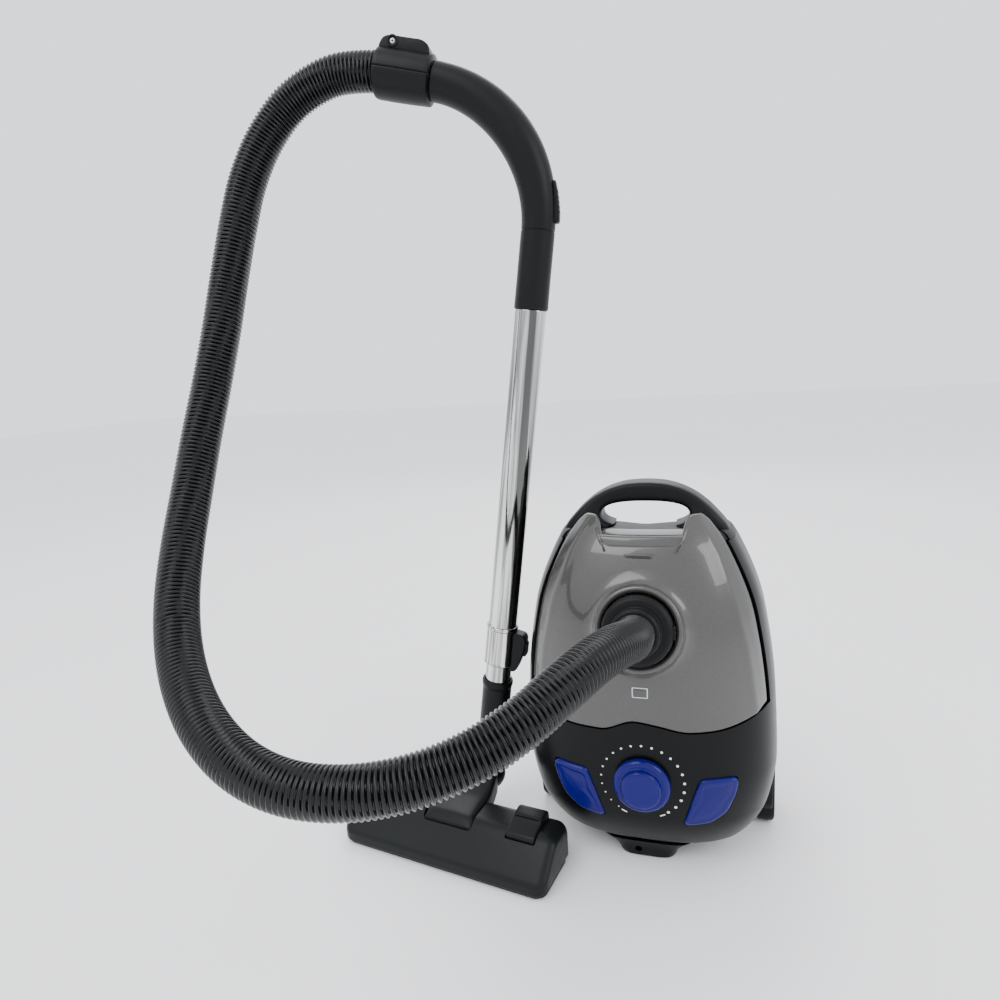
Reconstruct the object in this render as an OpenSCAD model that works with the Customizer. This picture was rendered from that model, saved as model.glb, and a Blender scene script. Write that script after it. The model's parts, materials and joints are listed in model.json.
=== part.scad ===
// Canister vacuum cleaner, parked on its tail, with its hose, handle, telescopic wand and floor head.
// The origin is the middle of the flat underside of the standing foot. +Z is up, the lid faces -Y.

/* [Canister] */
// Width over the casing
body_w = 290; // [240:1:350]
// Height of the casing, from the floor to the top of the carry handle
body_h = 446; // [400:1:530]
// Depth of the casing from the lid to the flat underside, without the wheels
body_d = 214; // [190:1:250]
// Thickness of the casing's walls
wall = 3; // [2.5:0.1:4]
// Gap between the lid, or a pedal, and the casing around it
seam = 1; // [0.6:0.1:1.5]
// Width of the black rim beside the lid
rim_w = 9; // [7:0.5:14]
// Inside width of the carry handle's opening
grip_w = 98; // [85:1:110]

/* [Wheels] */
// Radius of the rear wheels, over the tyre
wheel_r = 48; // [38:1:50]
// Width of a rear wheel
wheel_w = 20; // [14:1:22]
// Radius of the caster's wheel
caster_r = 13; // [10:0.5:14]
// Radial clearance of a shaft in its hole
fit = 0.05; // [0.02:0.01:0.1]

/* [Controls] */
// Radius of the speed knob
knob_r = 31; // [24:1:34]
// How far the knob stands out of the panel
knob_h = 17; // [12:1:22]
// Radius of the ring of dots
dial_r = 45; // [42:1:48]
// Number of dots in the ring
dot_count = 21; // [9:1:25]
// Travel of the two pedals
pedal_travel = 4; // [2:0.5:5]

/* [Hose and inlet] */
// Outer diameter of the hose
hose_d = 41; // [36:1:42]
// Upward tilt of the inlet's axis
inlet_tilt = 14; // [8:1:18]
// Radius of the connector's collar
collar_r = 37; // [34:1:38]

/* [Wand] */
// Outer diameter of the outer tube
outer_d = 35; // [33:0.5:38]
// Outer diameter of the inner tube
inner_d = 32; // [26:0.5:32.5]
// Length of the outer tube
outer_len = 430; // [360:1:520]
// Length of the wand's extension
wand_travel = 300; // [200:10:310]
// Overlap that the two tubes keep at full extension
tube_overlap = 64; // [50:1:80]
// Lean of the wand
wand_lean = 8.5; // [5:0.5:10]
// Radius of the handle's bend
bend_r = 142; // [120:1:160]
// Angle of the handle's bend
bend_angle = 84; // [70:1:90]

/* [Floor head] */
// Length of the floor head
head_len = 276; // [240:1:290]
// Depth of the floor head
head_depth = 84; // [74:1:90]
// Height of the floor head
head_h = 52; // [46:1:60]
// Travel of the brush strips, up and down
brush_drop = 4; // [2:0.5:5]

/* [Hidden] */

$fn = 64;
tiny = 0.01;
far = 700;
black = [0.05, 0.05, 0.055];
grey = [0.36, 0.36, 0.34];
blue = [0.08, 0.07, 0.55];
steel = [0.78, 0.79, 0.8];

// The casing's cross sections as shares of its height, half width, front depth and back depth.
front_d = body_d * 0.505;
back_d = body_d - front_d;
stations = [[0.045, 0.63, 0.56, 0.58], [0.08, 0.8, 0.74, 0.79], [0.17, 0.945, 0.91, 0.925],
  [0.29, 1, 0.98, 0.98], [0.45, 0.985, 1, 1], [0.67, 0.9, 0.925, 0.98], [0.83, 0.72, 0.72, 0.85],
  [0.925, 0.5, 0.43, 0.585], [0.985, 0.25, 0.13, 0.29]];
section_power = 2.6;
section_points = 40;
low_z = stations[0][0] * body_h;
high_z = stations[8][0] * body_h;

function column(i, size) = [for (s = stations) [s[0] * body_h, s[i] * size]];
function half_width(z) = lookup(z, column(1, body_w / 2));
function front_y(z) = -lookup(z, column(2, front_d));
function back_y(z) = lookup(z, column(3, back_d));
function curl(v) = sign(v) * pow(abs(v), 2 / section_power);
// y of the casing's front face at x and z
function face_y(x, z) = (front_y(z) + back_y(z)) / 2 - (back_y(z) - front_y(z)) / 2
  * pow(1 - pow(abs(x) / half_width(z), section_power), 1 / section_power);

// The solid inside the casing's outer face, shrunk by g.
module body_form(g) {
  squeeze = (high_z - low_z - 2 * g) / (high_z - low_z);
  hull() for (s = stations)
    translate([0, 0, low_z + g + (s[0] * body_h - low_z) * squeeze])
      linear_extrude(tiny) polygon([for (i = [0 : section_points - 1])
        let (t = 360 * i / section_points, half = (s[2] * front_d + s[3] * back_d) / 2 - g)
        [(s[1] * body_w / 2 - g) * curl(cos(t)),
          (s[3] * back_d - s[2] * front_d) / 2 + half * curl(sin(t))]]);
}

// Extrudes an outline drawn in x and z from y = y0 to y = y1.
module front_cut(y0, y1) {
  translate([0, y1, 0]) rotate([90, 0, 0]) linear_extrude(y1 - y0) children();
}

// The lid: its lower edge is a wave and its top is scooped out below the handle.
wave = [[-0.985, 0.43], [-0.5, 0.41], [-0.33, 0.41], [-0.05, 0.437], [0.13, 0.43], [0.37, 0.417],
  [0.57, 0.421], [0.8, 0.437], [0.985, 0.46]];
lid_side = [0.48, 0.55, 0.62, 0.69, 0.75, 0.8, 0.85, 0.89, 0.915];
scoop_z = 0.852 * body_h;
scoop_half = grip_w / 2 + 6;
function side_x(share, e) = half_width(share * body_h) - rim_w + e;
function lid_outline(e) = concat(
  [for (p = wave) [p[0] * (half_width(p[1] * body_h) - rim_w + e), p[1] * body_h - e]],
  [for (s = lid_side) [side_x(s, e), s * body_h]],
  [[scoop_half - e, 0.915 * body_h + e], [scoop_half - 5 - e, scoop_z + 11 + e],
    [scoop_half - 16, scoop_z + e], [-scoop_half + 16, scoop_z + e],
    [-scoop_half + 5 + e, scoop_z + 11 + e], [-scoop_half + e, 0.915 * body_h + e]],
  [for (i = [len(lid_side) - 1 : -1 : 0]) [-side_x(lid_side[i], e), lid_side[i] * body_h]]);
lid_back = -12;

// Carry handle
crown_z = 0.872 * body_h;
crown_t = 10;
grip_y0 = -26;
grip_y1 = 22;
foot_half = 34;
foot_y0 = -66;
foot_y1 = 40;
opening_h = 0.062 * body_h;
opening_z = 0.871 * body_h;

// Inlet
inlet_z = 0.668 * body_h;
inlet_y = front_y(inlet_z);
boss_r = 46;
boss_h = 12;
ring_r = 33;
ring_t = 2;
hose_bore = hose_d / 2 - 3;
tab_t = 5;
tab_w = 14;
tab_press = 2;
cuff_start = boss_h + 13;
cuff_end = cuff_start + 22.3;

indicator_w = 16;
indicator_h = 10;
indicator_z = 0.513 * body_h;
latch_z = 0.822 * body_h;
latch_half = 17;
latch_travel = 3;

// Panel
knob_z = 0.274 * body_h;
knob_y = front_y(knob_z + knob_r) - 0.5;
shaft_r = 4;
pedal_shape = [[0.21, 0.294], [0.345, 0.298], [0.341, 0.256], [0.307, 0.197], [0.245, 0.164],
  [0.145, 0.155]];
pedal_x = 0.255 * body_w;
pedal_z = 0.235 * body_h;
stem_back = face_y(pedal_x, pedal_z) + 18;
spring_seat_y = stem_back + pedal_travel + 2;
spring_grip = 9;
switch_t = 12;
switch_side = 22;

// Motor, reel and chamber
motor_x = 0.165 * body_w;
motor_y = -8;
motor_r = 48;
motor_low = 62;
motor_high = 158;
reel_x = -0.24 * body_w;
reel_z = 0.24 * body_h;
reel_r = 50;
reel_core_r = 30;
reel_axle_r = 6;
reel_y0 = spring_seat_y + switch_t + 4.5;
reel_y1 = -4;
chamber_z0 = 0.41 * body_h;
chamber_z1 = crown_z - crown_t - 1;
chamber_y0 = -66;
filter_z = chamber_z0 + wall + 0.3;
plate_y = inlet_y + 33;

// Wheels
wheel_x = 0.39 * body_w;
wheel_y = back_d * 0.98 + 27 - wheel_r;
wheel_z = wheel_r + 28;
well_gap = 2.5;
well_in = wheel_w / 2 + 2;
well_out = wheel_w / 2 + 2;
axle_seat = 3;
axle_r = 4;
tyre_t = 5;
fin_in = wheel_x + wheel_w / 2 + 2;
fin_out = body_w / 2 + 1;
caster_z = 0.77 * body_h;
caster_y = back_y(caster_z);
caster_pad = 4;
caster_trail = 16;
caster_axle_y = caster_y + caster_pad + 5 + caster_r;
caster_half = 7;
stem_r = 6;
screw_r = 4;
screw_spots = [[-0.26, 0.46], [0.26, 0.46], [-0.2, 0.8], [0.2, 0.8]];
grille_half = 55;
grille_z0 = 0.17 * body_h;
grille_z1 = 0.35 * body_h;
grille_slots = 11;
slot_step = (grille_z1 - grille_z0 - 8) / grille_slots;
grille_y = back_y(grille_z0) - 5;
outlet_x = -64;
outlet_y = 24;
outlet_r = 8;

// Wand and floor head
head_x = -230;
head_y = -100;
head_yaw = -10;
neck_side = 8;
neck_back = 86;
neck_z = 55;
neck_x = head_x + neck_side * cos(head_yaw) - neck_back * sin(head_yaw);
neck_y = head_y + neck_side * sin(head_yaw) + neck_back * cos(head_yaw);
inner_start = 62;
inner_wall = 1.2;
sleeve_start = 150;
sleeve_len = 60;
outer_start = sleeve_start + 8;
outer_end = outer_start + outer_len;
inner_len = outer_start - inner_start + wand_travel + tube_overlap;
outer_bore = inner_d / 2 + 0.3;
bend_start = outer_end + 86;
bend_turn = 8;
grip_r = 16.8;
grip_bore = 13.5;
clamp_len = 60;
clamp_r = 25;
lug_x = clamp_r - 3;
lug_h = 12;
lug_half = 13;
lug_screw_z = 45;
lock_out = outer_d / 2 + 15;
neck_top = 138;
elbow_r = 21;
brush_y = head_depth / 2 - 24;
slider_from = 3;
slider_to = 17;
pivot_z = 28;
pivot_r = 9;
yoke_half = 32;
sole_t = 3;
sole_z = 1;
shell_t = 2.5;
rocker_x = 96;
rocker_half = 18;
rocker_pin_y = 20;
rocker_pin_z = head_h - 8;
rocker_pin_r = 2;
ear_t = 3;
brush_h = brush_drop + 7;
head_wheel_r = 7.5;
head_wheel_y = head_depth / 2 - 13;

module at_inlet() {
  translate([0, inlet_y, inlet_z]) rotate([90 - inlet_tilt, 0, 0]) children();
}
module at_wand(s) {
  translate([neck_x, neck_y, neck_z]) rotate([0, wand_lean, 0]) translate([0, 0, s]) children();
}
// Frame on the handle's centreline, a degrees along the bend.
module at_bend(a) {
  at_wand(bend_start) rotate([0, 0, bend_turn])
    translate([-bend_r, 0, 0]) rotate([0, -a, 0]) translate([bend_r, 0, 0]) children();
}
module at_head() {
  translate([head_x, head_y, 0]) rotate([0, 0, head_yaw]) children();
}
module tube(r_out, r_in, length) {
  difference() {
    cylinder(r = r_out, h = length);
    translate([0, 0, -1]) cylinder(r = r_in, h = length + 2);
  }
}
// A cylinder along +X from x0 to x1.
module x_rod(r, x0, x1) {
  translate([x0, 0, 0]) rotate([0, 90, 0]) cylinder(r = r, h = x1 - x0);
}
// A cylinder along +Y from y0 to y1.
module y_rod(r, y0, y1) {
  translate([0, y1, 0]) rotate([90, 0, 0]) cylinder(r = r, h = y1 - y0);
}
module slab(y0, y1, z0, z1) {
  translate([-far, y0, z0]) cube([2 * far, y1 - y0, z1 - z0]);
}
// Children and their mirror image on the left side.
module both() {
  children();
  mirror([1, 0, 0]) children();
}

// ---- Casing ----

module fin() {
  hull() {
    translate([fin_in, 0, 0]) rotate([90, 0, 90]) linear_extrude(fin_out - fin_in)
      polygon([[20, 0], [82, 0], [back_d - 4, 50], [back_d - 4, 130], [84, 180], [40, 190]]);
    translate([fin_in - 8, 50, 150]) sphere(r = 8, $fn = 16);
  }
}
module at_wheel() {
  translate([wheel_x, wheel_y, wheel_z]) children();
}
module well_wall() {
  intersection() {
    at_wheel() x_rod(wheel_r + well_gap + wall, -well_in - wall, fin_in - wheel_x + 1);
    slab(wheel_y - far, back_d - 3, 0, far);
  }
}
module handle_opening() {
  front_cut(-far, far) hull() for (side = [-1, 1])
    translate([side * (grip_w - opening_h) / 2, opening_z + opening_h / 2])
      circle(r = opening_h / 2, $fn = 32);
}
module casing(y0, y1) {
  intersection() {
    difference() {
      body_form(0);
      body_form(wall);
    }
    slab(y0, y1, 0, crown_z - crown_t);
  }
}
module base_shell() color(black) {
  difference() {
    union() {
      casing(0, far);
      both() {
        fin();
        well_wall();
      }
      translate([0, 0, caster_z]) y_rod(16, caster_y - 22, caster_y + caster_pad);
    }
    both() at_wheel() {
      x_rod(wheel_r + well_gap, -well_in, well_out);
      x_rod(axle_r, -well_in - axle_seat, well_out + axle_seat);
    }
    translate([0, 0, caster_z]) y_rod(stem_r + fit, caster_y - 18, caster_y + 10);
    front_cut(back_d - 20, back_d + 20) translate([-grille_half, grille_z0])
      square([2 * grille_half, grille_z1 - grille_z0]);
    for (p = screw_spots) translate([p[0] * body_w, 0, p[1] * body_h]) y_rod(screw_r, 50, far);
    translate([outlet_x, outlet_y, 0]) cylinder(r = outlet_r, h = 40);
  }
}
module top_cover() color(black) {
  difference() {
    casing(-far, 0);
    front_cut(-far, lid_back) polygon(lid_outline(seam));
    pedal_cuts(seam);
    translate([0, 0, knob_z]) y_rod(shaft_r + 0.5, -far, 0);
  }
}
module pedal_cuts(e) {
  both() front_cut(-far, -40) offset(delta = e)
    polygon([for (p = pedal_shape) [p[0] * body_w, p[1] * body_h]]);
}
module carry_handle() color(black) {
  difference() {
    intersection() {
      body_form(0);
      union() {
        slab(-far, far, crown_z - crown_t, crown_z);
        slab(grip_y0, grip_y1, crown_z - tiny, far);
      }
    }
    handle_opening();
    front_cut(-far, lid_back) polygon(lid_outline(seam));
  }
}
module standing_foot() color(black) {
  difference() {
    hull() {
      translate([-foot_half, foot_y0, 0]) cube([2 * foot_half, foot_y1 - foot_y0, 4]);
      translate([-foot_half - 14, foot_y0 + 8, low_z - 1])
        cube([2 * foot_half + 28, foot_y1 - foot_y0 - 8, 1]);
    }
    translate([-10, 0, 11]) y_rod(4, foot_y0 - 5, foot_y0 + 12);
  }
}
module wheel() {
  at_wheel() difference() {
    x_rod(wheel_r - tyre_t, -wheel_w / 2, wheel_w / 2);
    x_rod(axle_r + fit, -wheel_w, wheel_w);
    x_rod(wheel_r - 14, wheel_w / 2 - 4, wheel_w);
    for (i = [0 : 4]) rotate([72 * i, 0, 0]) translate([0, 0, wheel_r * 0.45]) x_rod(7, -wheel_w, wheel_w);
  }
}
module tyre() {
  at_wheel() difference() {
    x_rod(wheel_r, -wheel_w / 2 + 1, wheel_w / 2 - 1);
    x_rod(wheel_r - tyre_t, -wheel_w, wheel_w);
  }
}
module wheel_left() color(black) mirror([1, 0, 0]) wheel();
module wheel_right() color(black) wheel();
module tyre_left() color([0.15, 0.15, 0.16]) mirror([1, 0, 0]) tyre();
module tyre_right() color([0.15, 0.15, 0.16]) tyre();
module wheel_axles() color(steel) both() at_wheel()
  x_rod(axle_r, -well_in - axle_seat, well_out + axle_seat);
module caster_fork() color(black) {
  translate([0, 0, caster_z]) {
    y_rod(stem_r, caster_y - 16, caster_y + caster_pad + 2);
    y_rod(12, caster_y + caster_pad + 0.5, caster_y + caster_pad + 3.5);
    both() hull() {
      translate([caster_half, caster_y + caster_pad + 1, -8]) cube([3, 2.5, 16]);
      translate([caster_half, caster_axle_y, -caster_trail]) rotate([0, 90, 0])
        cylinder(r = 6, h = 3, $fn = 32);
    }
    translate([0, caster_axle_y, -caster_trail]) x_rod(2.5, -caster_half - 1, caster_half + 1);
  }
}
module caster_wheel() color([0.15, 0.15, 0.16]) {
  translate([0, caster_axle_y, caster_z - caster_trail]) difference() {
    x_rod(caster_r, -caster_half + 1, caster_half - 1);
    x_rod(2.5 + fit, -20, 20);
  }
}
module body_screws() color(steel) {
  for (p = screw_spots) translate([p[0] * body_w, 0, p[1] * body_h])
    y_rod(screw_r - 0.4, back_y(p[1] * body_h) - 14, back_y(p[1] * body_h) - 3);
}
module exhaust_grille() color(black) {
  difference() {
    front_cut(grille_y, grille_y + 4) translate([-grille_half + 0.3, grille_z0 + 0.3])
      square([2 * grille_half - 0.6, grille_z1 - grille_z0 - 0.6]);
    for (i = [0 : grille_slots - 1])
      translate([-grille_half + 6, grille_y - 1, grille_z0 + 5 + i * slot_step])
        cube([2 * grille_half - 12, 6, slot_step - 3]);
  }
}
module exhaust_filter() color([0.85, 0.85, 0.8]) {
  front_cut(grille_y - 9, grille_y - 1) translate([-grille_half + 3, grille_z0 + 3])
    square([2 * grille_half - 6, grille_z1 - grille_z0 - 6]);
}
module cord_outlet() color(black) {
  translate([outlet_x, outlet_y, low_z - 3]) difference() {
    union() {
      cylinder(r = outlet_r + 4, h = 3);
      cylinder(r = outlet_r, h = 12);
    }
    translate([0, 0, -1]) cylinder(r = outlet_r - 3, h = 20);
  }
}

// ---- Lid ----

module dust_lid() color(grey) {
  difference() {
    union() {
      intersection() {
        difference() {
          body_form(0);
          body_form(wall);
        }
        front_cut(-far, lid_back - 2) polygon(lid_outline(0));
      }
      at_inlet() translate([0, 0, -10]) cylinder(r = boss_r, h = 10 + boss_h);
    }
    at_inlet() translate([0, 0, -60]) cylinder(r = ring_r + ring_t, h = 200);
    at_inlet() translate([0, 0, boss_h - 4]) cylinder(r = collar_r + 1.5, h = 10);
    indicator_cut(0.2);
    front_cut(-far, 0) translate([-latch_half - 0.6, latch_z - latch_travel - 0.6])
      square([2 * latch_half + 1.2, 30]);
  }
}
module indicator_cut(e) {
  front_cut(-far, 0) translate([-indicator_w / 2 - e, indicator_z - indicator_h / 2 - e])
    square([indicator_w + 2 * e, indicator_h + 2 * e]);
}
module indicator_window() color([0.02, 0.02, 0.02]) {
  intersection() {
    indicator_cut(0);
    slab(front_y(indicator_z) + 0.8, front_y(indicator_z) + wall + 1, 0, far);
  }
}
module lid_seal() color([0.1, 0.1, 0.1]) {
  difference() {
    intersection() {
      body_form(wall + 0.2);
      front_cut(-far, lid_back - 14) polygon(lid_outline(-2));
    }
    body_form(wall + 3.5);
    front_cut(-far, 0) offset(delta = -5) polygon(lid_outline(-2));
    front_cut(-far, 0) translate([-latch_half - 2, latch_z - 2]) square([2 * latch_half + 4, 30]);
  }
}
module inlet_ring() color(black) at_inlet() {
  difference() {
    union() {
      translate([0, 0, -22]) cylinder(r = ring_r + ring_t, h = 22 + boss_h - 4);
      translate([0, 0, -34]) cylinder(r = 25, h = 13);
    }
    translate([0, 0, -20]) cylinder(r = ring_r, h = 60);
    translate([0, 0, -40]) cylinder(r = 22, h = 60);
  }
}
module lid_latch() color(black) {
  translate([0, 0, latch_z]) {
    translate([-latch_half, front_y(latch_z) + 1, 0]) cube([2 * latch_half, 9, 7]);
    translate([-latch_half + 4, front_y(latch_z) + 8, -12]) cube([2 * latch_half - 8, 4, 14]);
  }
}
module hose_connector() color(black) at_inlet() difference() {
  rotate_extrude() polygon([[hose_bore, -16], [ring_r - 0.3, -16], [ring_r - 0.3, boss_h - 3],
    [collar_r, boss_h - 3], [collar_r, cuff_start - 3], [collar_r - 3, cuff_start],
    [hose_bore, cuff_start]]);
  translate([collar_r - tab_t, -tab_w / 2 - 0.3, boss_h - 2]) cube([30, tab_w + 0.6, 30]);
}
module connector_tab() color(black) at_inlet()
  translate([collar_r - tab_t + tab_press, -tab_w / 2, boss_h + 0.5])
    cube([tab_t + 1.5 - tab_press, tab_w, 9]);
module hose_end_cuff() color(black) at_inlet()
  translate([0, 0, cuff_start]) tube(hose_d / 2 + 4, hose_bore, cuff_end - cuff_start - 0.2);

// ---- Panel ----

module dial_marks() color("white") for (i = [0 : dot_count - 1]) {
  a = 233 - 286 * i / (dot_count - 1);
  x = dial_r * cos(a);
  z = knob_z + dial_r * sin(a);
  translate([x, 0, z]) y_rod(0.8 + 0.9 * i / (dot_count - 1), face_y(x, z) - 0.8, face_y(x, z) - 0.3);
}
module speed_knob() color(blue) translate([0, 0, knob_z]) {
  y_rod(knob_r, knob_y - 7, knob_y);
  y_rod(knob_r * 0.7, knob_y - knob_h, knob_y - 7);
  y_rod(shaft_r, knob_y - 1, knob_y + 22);
}
module speed_control() color("gray") translate([0, 0, knob_z]) difference() {
  y_rod(12, knob_y + 14, knob_y + 26);
  y_rod(shaft_r + fit, knob_y, knob_y + 23);
}
module pedal() {
  intersection() {
    difference() {
      body_form(-1.2);
      body_form(wall + 1);
    }
    front_cut(-far, -40) polygon([for (p = pedal_shape) [p[0] * body_w, p[1] * body_h]]);
  }
  translate([pedal_x, 0, pedal_z]) y_rod(5, stem_back - 14, stem_back);
}
module power_pedal() color(blue) pedal();
module rewind_pedal() color(blue) mirror([1, 0, 0]) pedal();
module pedal_springs() color(steel) both() translate([pedal_x, 0, pedal_z]) rotate([90, 0, 0])
  translate([0, 0, -spring_seat_y]) tube(8, 6.5, spring_seat_y - stem_back + spring_grip);
module power_switch() color([0.9, 0.9, 0.88]) both()
  translate([pedal_x - switch_side / 2, spring_seat_y, pedal_z - switch_side / 2])
    cube([switch_side, switch_t, switch_side]);
module circuit_board() color([0.1, 0.4, 0.2])
  translate([-24, knob_y + 26.3, knob_z - 30]) cube([48, 1.6, 60]);

// ---- Dust side ----

module chamber_form(g, open_front) {
  hull() {
    translate([-0.37 * body_w + g, open_front ? -far : chamber_y0, chamber_z0 + g])
      cube([0.74 * body_w - 2 * g, (open_front ? far : -chamber_y0) + 0.3 * body_d - g, tiny]);
    translate([-0.25 * body_w + g, open_front ? -far : -34, chamber_z1 - g])
      cube([0.5 * body_w - 2 * g, (open_front ? far : 34) + 0.2 * body_d - g, tiny]);
  }
}
module dust_chamber() color([0.2, 0.2, 0.2]) difference() {
  chamber_form(0, false);
  chamber_form(wall, true);
  translate([motor_x, motor_y, chamber_z0 - 1]) cylinder(r = 30, h = wall + 2);
}
module filter_frame() color(black) translate([motor_x - 42, motor_y - 36, filter_z]) difference() {
  cube([84, 72, 4]);
  for (i = [0 : 5]) translate([6 + i * 12.4, 6, -1]) cube([9, 60, 8]);
}
module motor_filter() color([0.85, 0.85, 0.8])
  translate([motor_x - 40, motor_y - 34, filter_z + 4.2]) cube([80, 68, 6]);
module dust_bag() color([0.75, 0.68, 0.55]) hull() {
  for (x = [-1, 1]) translate([x * 48, 12, 0.52 * body_h]) sphere(r = 30, $fn = 24);
  translate([0, 8, 0.76 * body_h]) scale([1.6, 0.95, 0.8]) sphere(r = 30, $fn = 24);
}
module bag_plate() color([0.7, 0.6, 0.42]) front_cut(plate_y, plate_y + 3) difference() {
  translate([-50, inlet_z - 60]) square([100, 110]);
  translate([0, inlet_z - 7]) circle(r = 29);
}
module bag_holder() color([0.1, 0.1, 0.1]) front_cut(plate_y + 3.2, plate_y + 6) difference() {
  translate([-58, inlet_z - 66]) square([116, 122]);
  translate([0, inlet_z - 7]) circle(r = 36);
}

// ---- Drive ----

module motor_can() color(steel) translate([motor_x, motor_y, motor_low]) difference() {
  cylinder(r = motor_r, h = motor_high - motor_low);
  translate([0, 0, wall]) cylinder(r = motor_r - wall, h = motor_high - motor_low - 2 * wall);
  translate([0, 0, -1]) cylinder(r = 5 + fit, h = 10);
  translate([0, 0, 60]) cylinder(r = 20, h = 60);
}
module motor_shaft() color([0.6, 0.35, 0.2]) translate([motor_x, motor_y, motor_low]) {
  translate([0, 0, -8]) cylinder(r = 5, h = 84);
  translate([0, 0, 14]) cylinder(r = 26, h = 40);
}
module fan_wheel() color(steel) translate([motor_x, motor_y, motor_low + 66]) difference() {
  union() {
    cylinder(r = motor_r - 6, h = 2);
    translate([0, 0, 1]) cylinder(r = 9, h = 11);
    for (i = [0 : 8]) rotate([0, 0, 40 * i]) translate([8, -0.75, 1]) cube([motor_r - 15, 1.5, 11]);
  }
  translate([0, 0, -1]) cylinder(r = 5, h = 30);
}
module motor_mounts() color([0.12, 0.12, 0.12]) translate([motor_x, motor_y, 0]) {
  translate([0, 0, motor_high]) tube(34, 24, chamber_z0 - motor_high - 0.2);
  translate([0, 0, motor_low - 12]) tube(30, 10, 12);
}
module reel_drum() color([0.2, 0.2, 0.22]) translate([reel_x, 0, reel_z]) difference() {
  union() {
    y_rod(reel_r, reel_y0, reel_y0 + 3);
    y_rod(reel_r, reel_y1 - 3, reel_y1);
    y_rod(reel_core_r, reel_y0 + 1, reel_y1 - 1);
  }
  y_rod(reel_axle_r + fit, reel_y0 - 1, reel_y1 + 1);
}
module reel_axle() color(steel) translate([reel_x, 0, reel_z]) {
  y_rod(reel_axle_r, reel_y0 - 4, reel_y1 + 4);
  translate([-30, reel_y1 + 4, -8]) cube([60, 3, 16]);
}

// ---- Wand ----

module outer_tube() color(steel) at_wand(outer_start) tube(outer_d / 2, outer_bore, outer_len);
module inner_tube() color(steel) at_wand(inner_start) tube(inner_d / 2, inner_d / 2 - inner_wall, inner_len);
module lock_sleeve() color(steel) at_wand(sleeve_start) difference() {
  union() {
    cylinder(r = outer_d / 2 + 1.6, h = sleeve_len);
    translate([0, -8, 4]) cube([lock_out, 16, 46]);
  }
  translate([0, 0, -1]) cylinder(r = inner_d / 2 + fit, h = 40);
  translate([0, 0, outer_start - sleeve_start]) cylinder(r = outer_d / 2, h = 100);
  translate([lock_out - 7, -5.5, 10]) cube([20, 11, 34]);
}
module lock_button() color(black) at_wand(sleeve_start)
  translate([lock_out - 6.5, -5, 20]) cube([9, 10, 23]);
module handle_tube() color(black) {
  at_wand(outer_end) difference() {
    union() {
      translate([0, 0, -28]) cylinder(r = outer_bore, h = 29);
      cylinder(r = grip_r + 0.4, h = bend_start - outer_end);
    }
    translate([0, 0, -30]) cylinder(r = grip_bore - 0.4, h = 200);
  }
  at_bend(0) translate([-bend_r, 0, 0]) rotate([90, 0, 0]) mirror([0, 0, 1])
    rotate_extrude(angle = bend_angle) translate([bend_r, 0]) ring_2d(grip_r, grip_bore);
}
module ring_2d(r_out, r_in) {
  difference() {
    circle(r = r_out);
    circle(r = r_in);
  }
}
module suction_slider() color(black) at_bend(slider_from) translate([-bend_r, 0, 0])
  rotate([90, 0, 0]) mirror([0, 0, 1]) rotate_extrude(angle = slider_to - slider_from)
    translate([bend_r + grip_r + 0.3, -9]) square([4, 18]);
module clamp_half(side) {
  at_bend(bend_angle) difference() {
    union() {
      cylinder(r = clamp_r, h = clamp_len);
      translate([lug_x, -lug_half, 14]) cube([lug_h, 2 * lug_half, 40]);
    }
    translate([0, 0, -1]) cylinder(r = grip_r, h = 20);
    translate([0, 0, -1]) cylinder(r = hose_bore, h = 100);
    translate([side > 0 ? seam / 10 - far : -seam / 10, -far, -far]) cube([far, 2 * far, 2 * far]);
    translate([lug_x + lug_h / 2, 0, lug_screw_z]) y_rod(screw_r, -20, 20);
  }
}
module clamp_upper() color(black) clamp_half(1);
module clamp_lower() color(black) clamp_half(-1);
module clamp_screw() color(steel) at_bend(bend_angle) translate([lug_x + lug_h / 2, 0, lug_screw_z])
  y_rod(screw_r, -lug_half + 1, lug_half - 1);
module neck_elbow() color(black) {
  at_wand(0) difference() {
    union() {
      cylinder(r = outer_d / 2 + 1, h = neck_top);
      sphere(r = elbow_r);
    }
    translate([0, 0, inner_start]) cylinder(r = inner_d / 2 + fit, h = 200);
    translate([0, 0, 10]) cylinder(r = inner_d / 2 - 2, h = 200);
  }
}
module neck_yoke() color(black) at_head() difference() {
  union() {
    translate([0, 0, pivot_z]) x_rod(pivot_r, -yoke_half - 6, yoke_half + 6);
    hull() {
      translate([0, 0, pivot_z]) x_rod(pivot_r, -yoke_half, yoke_half);
      translate([neck_side, neck_back - 36, neck_z - 4]) sphere(r = 19, $fn = 32);
    }
  }
  translate([neck_side, neck_back, neck_z]) sphere(r = elbow_r + 0.3);
}

// ---- Floor head ----

// Outline of the head's end, shrunk by g, in depth and height.
module head_profile(g) {
  hull() {
    translate([-head_depth / 2 + 8, 14]) circle(r = 8 - g, $fn = 32);
    translate([-head_depth / 2 + 3, sole_z + sole_t + 2]) circle(r = 3 - g, $fn = 32);
    translate([4, head_h - 20]) circle(r = 20 - g, $fn = 32);
    translate([head_depth / 2 - 16, head_h - 20]) circle(r = 16 - g, $fn = 32);
    translate([head_depth / 2 - 3, sole_z + sole_t + 2]) circle(r = 3 - g, $fn = 32);
  }
}
module head_bar(g) {
  rotate([90, 0, 90]) translate([0, 0, -head_len / 2 + g]) linear_extrude(head_len - 2 * g) head_profile(g);
}
module plan(inset) {
  linear_extrude(far) hull() for (x = [-1, 1]) for (y = [-1, 1])
    translate([x * (head_len / 2 - 16), y * (head_depth / 2 - 16)]) circle(r = 16 - inset, $fn = 32);
}
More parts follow.
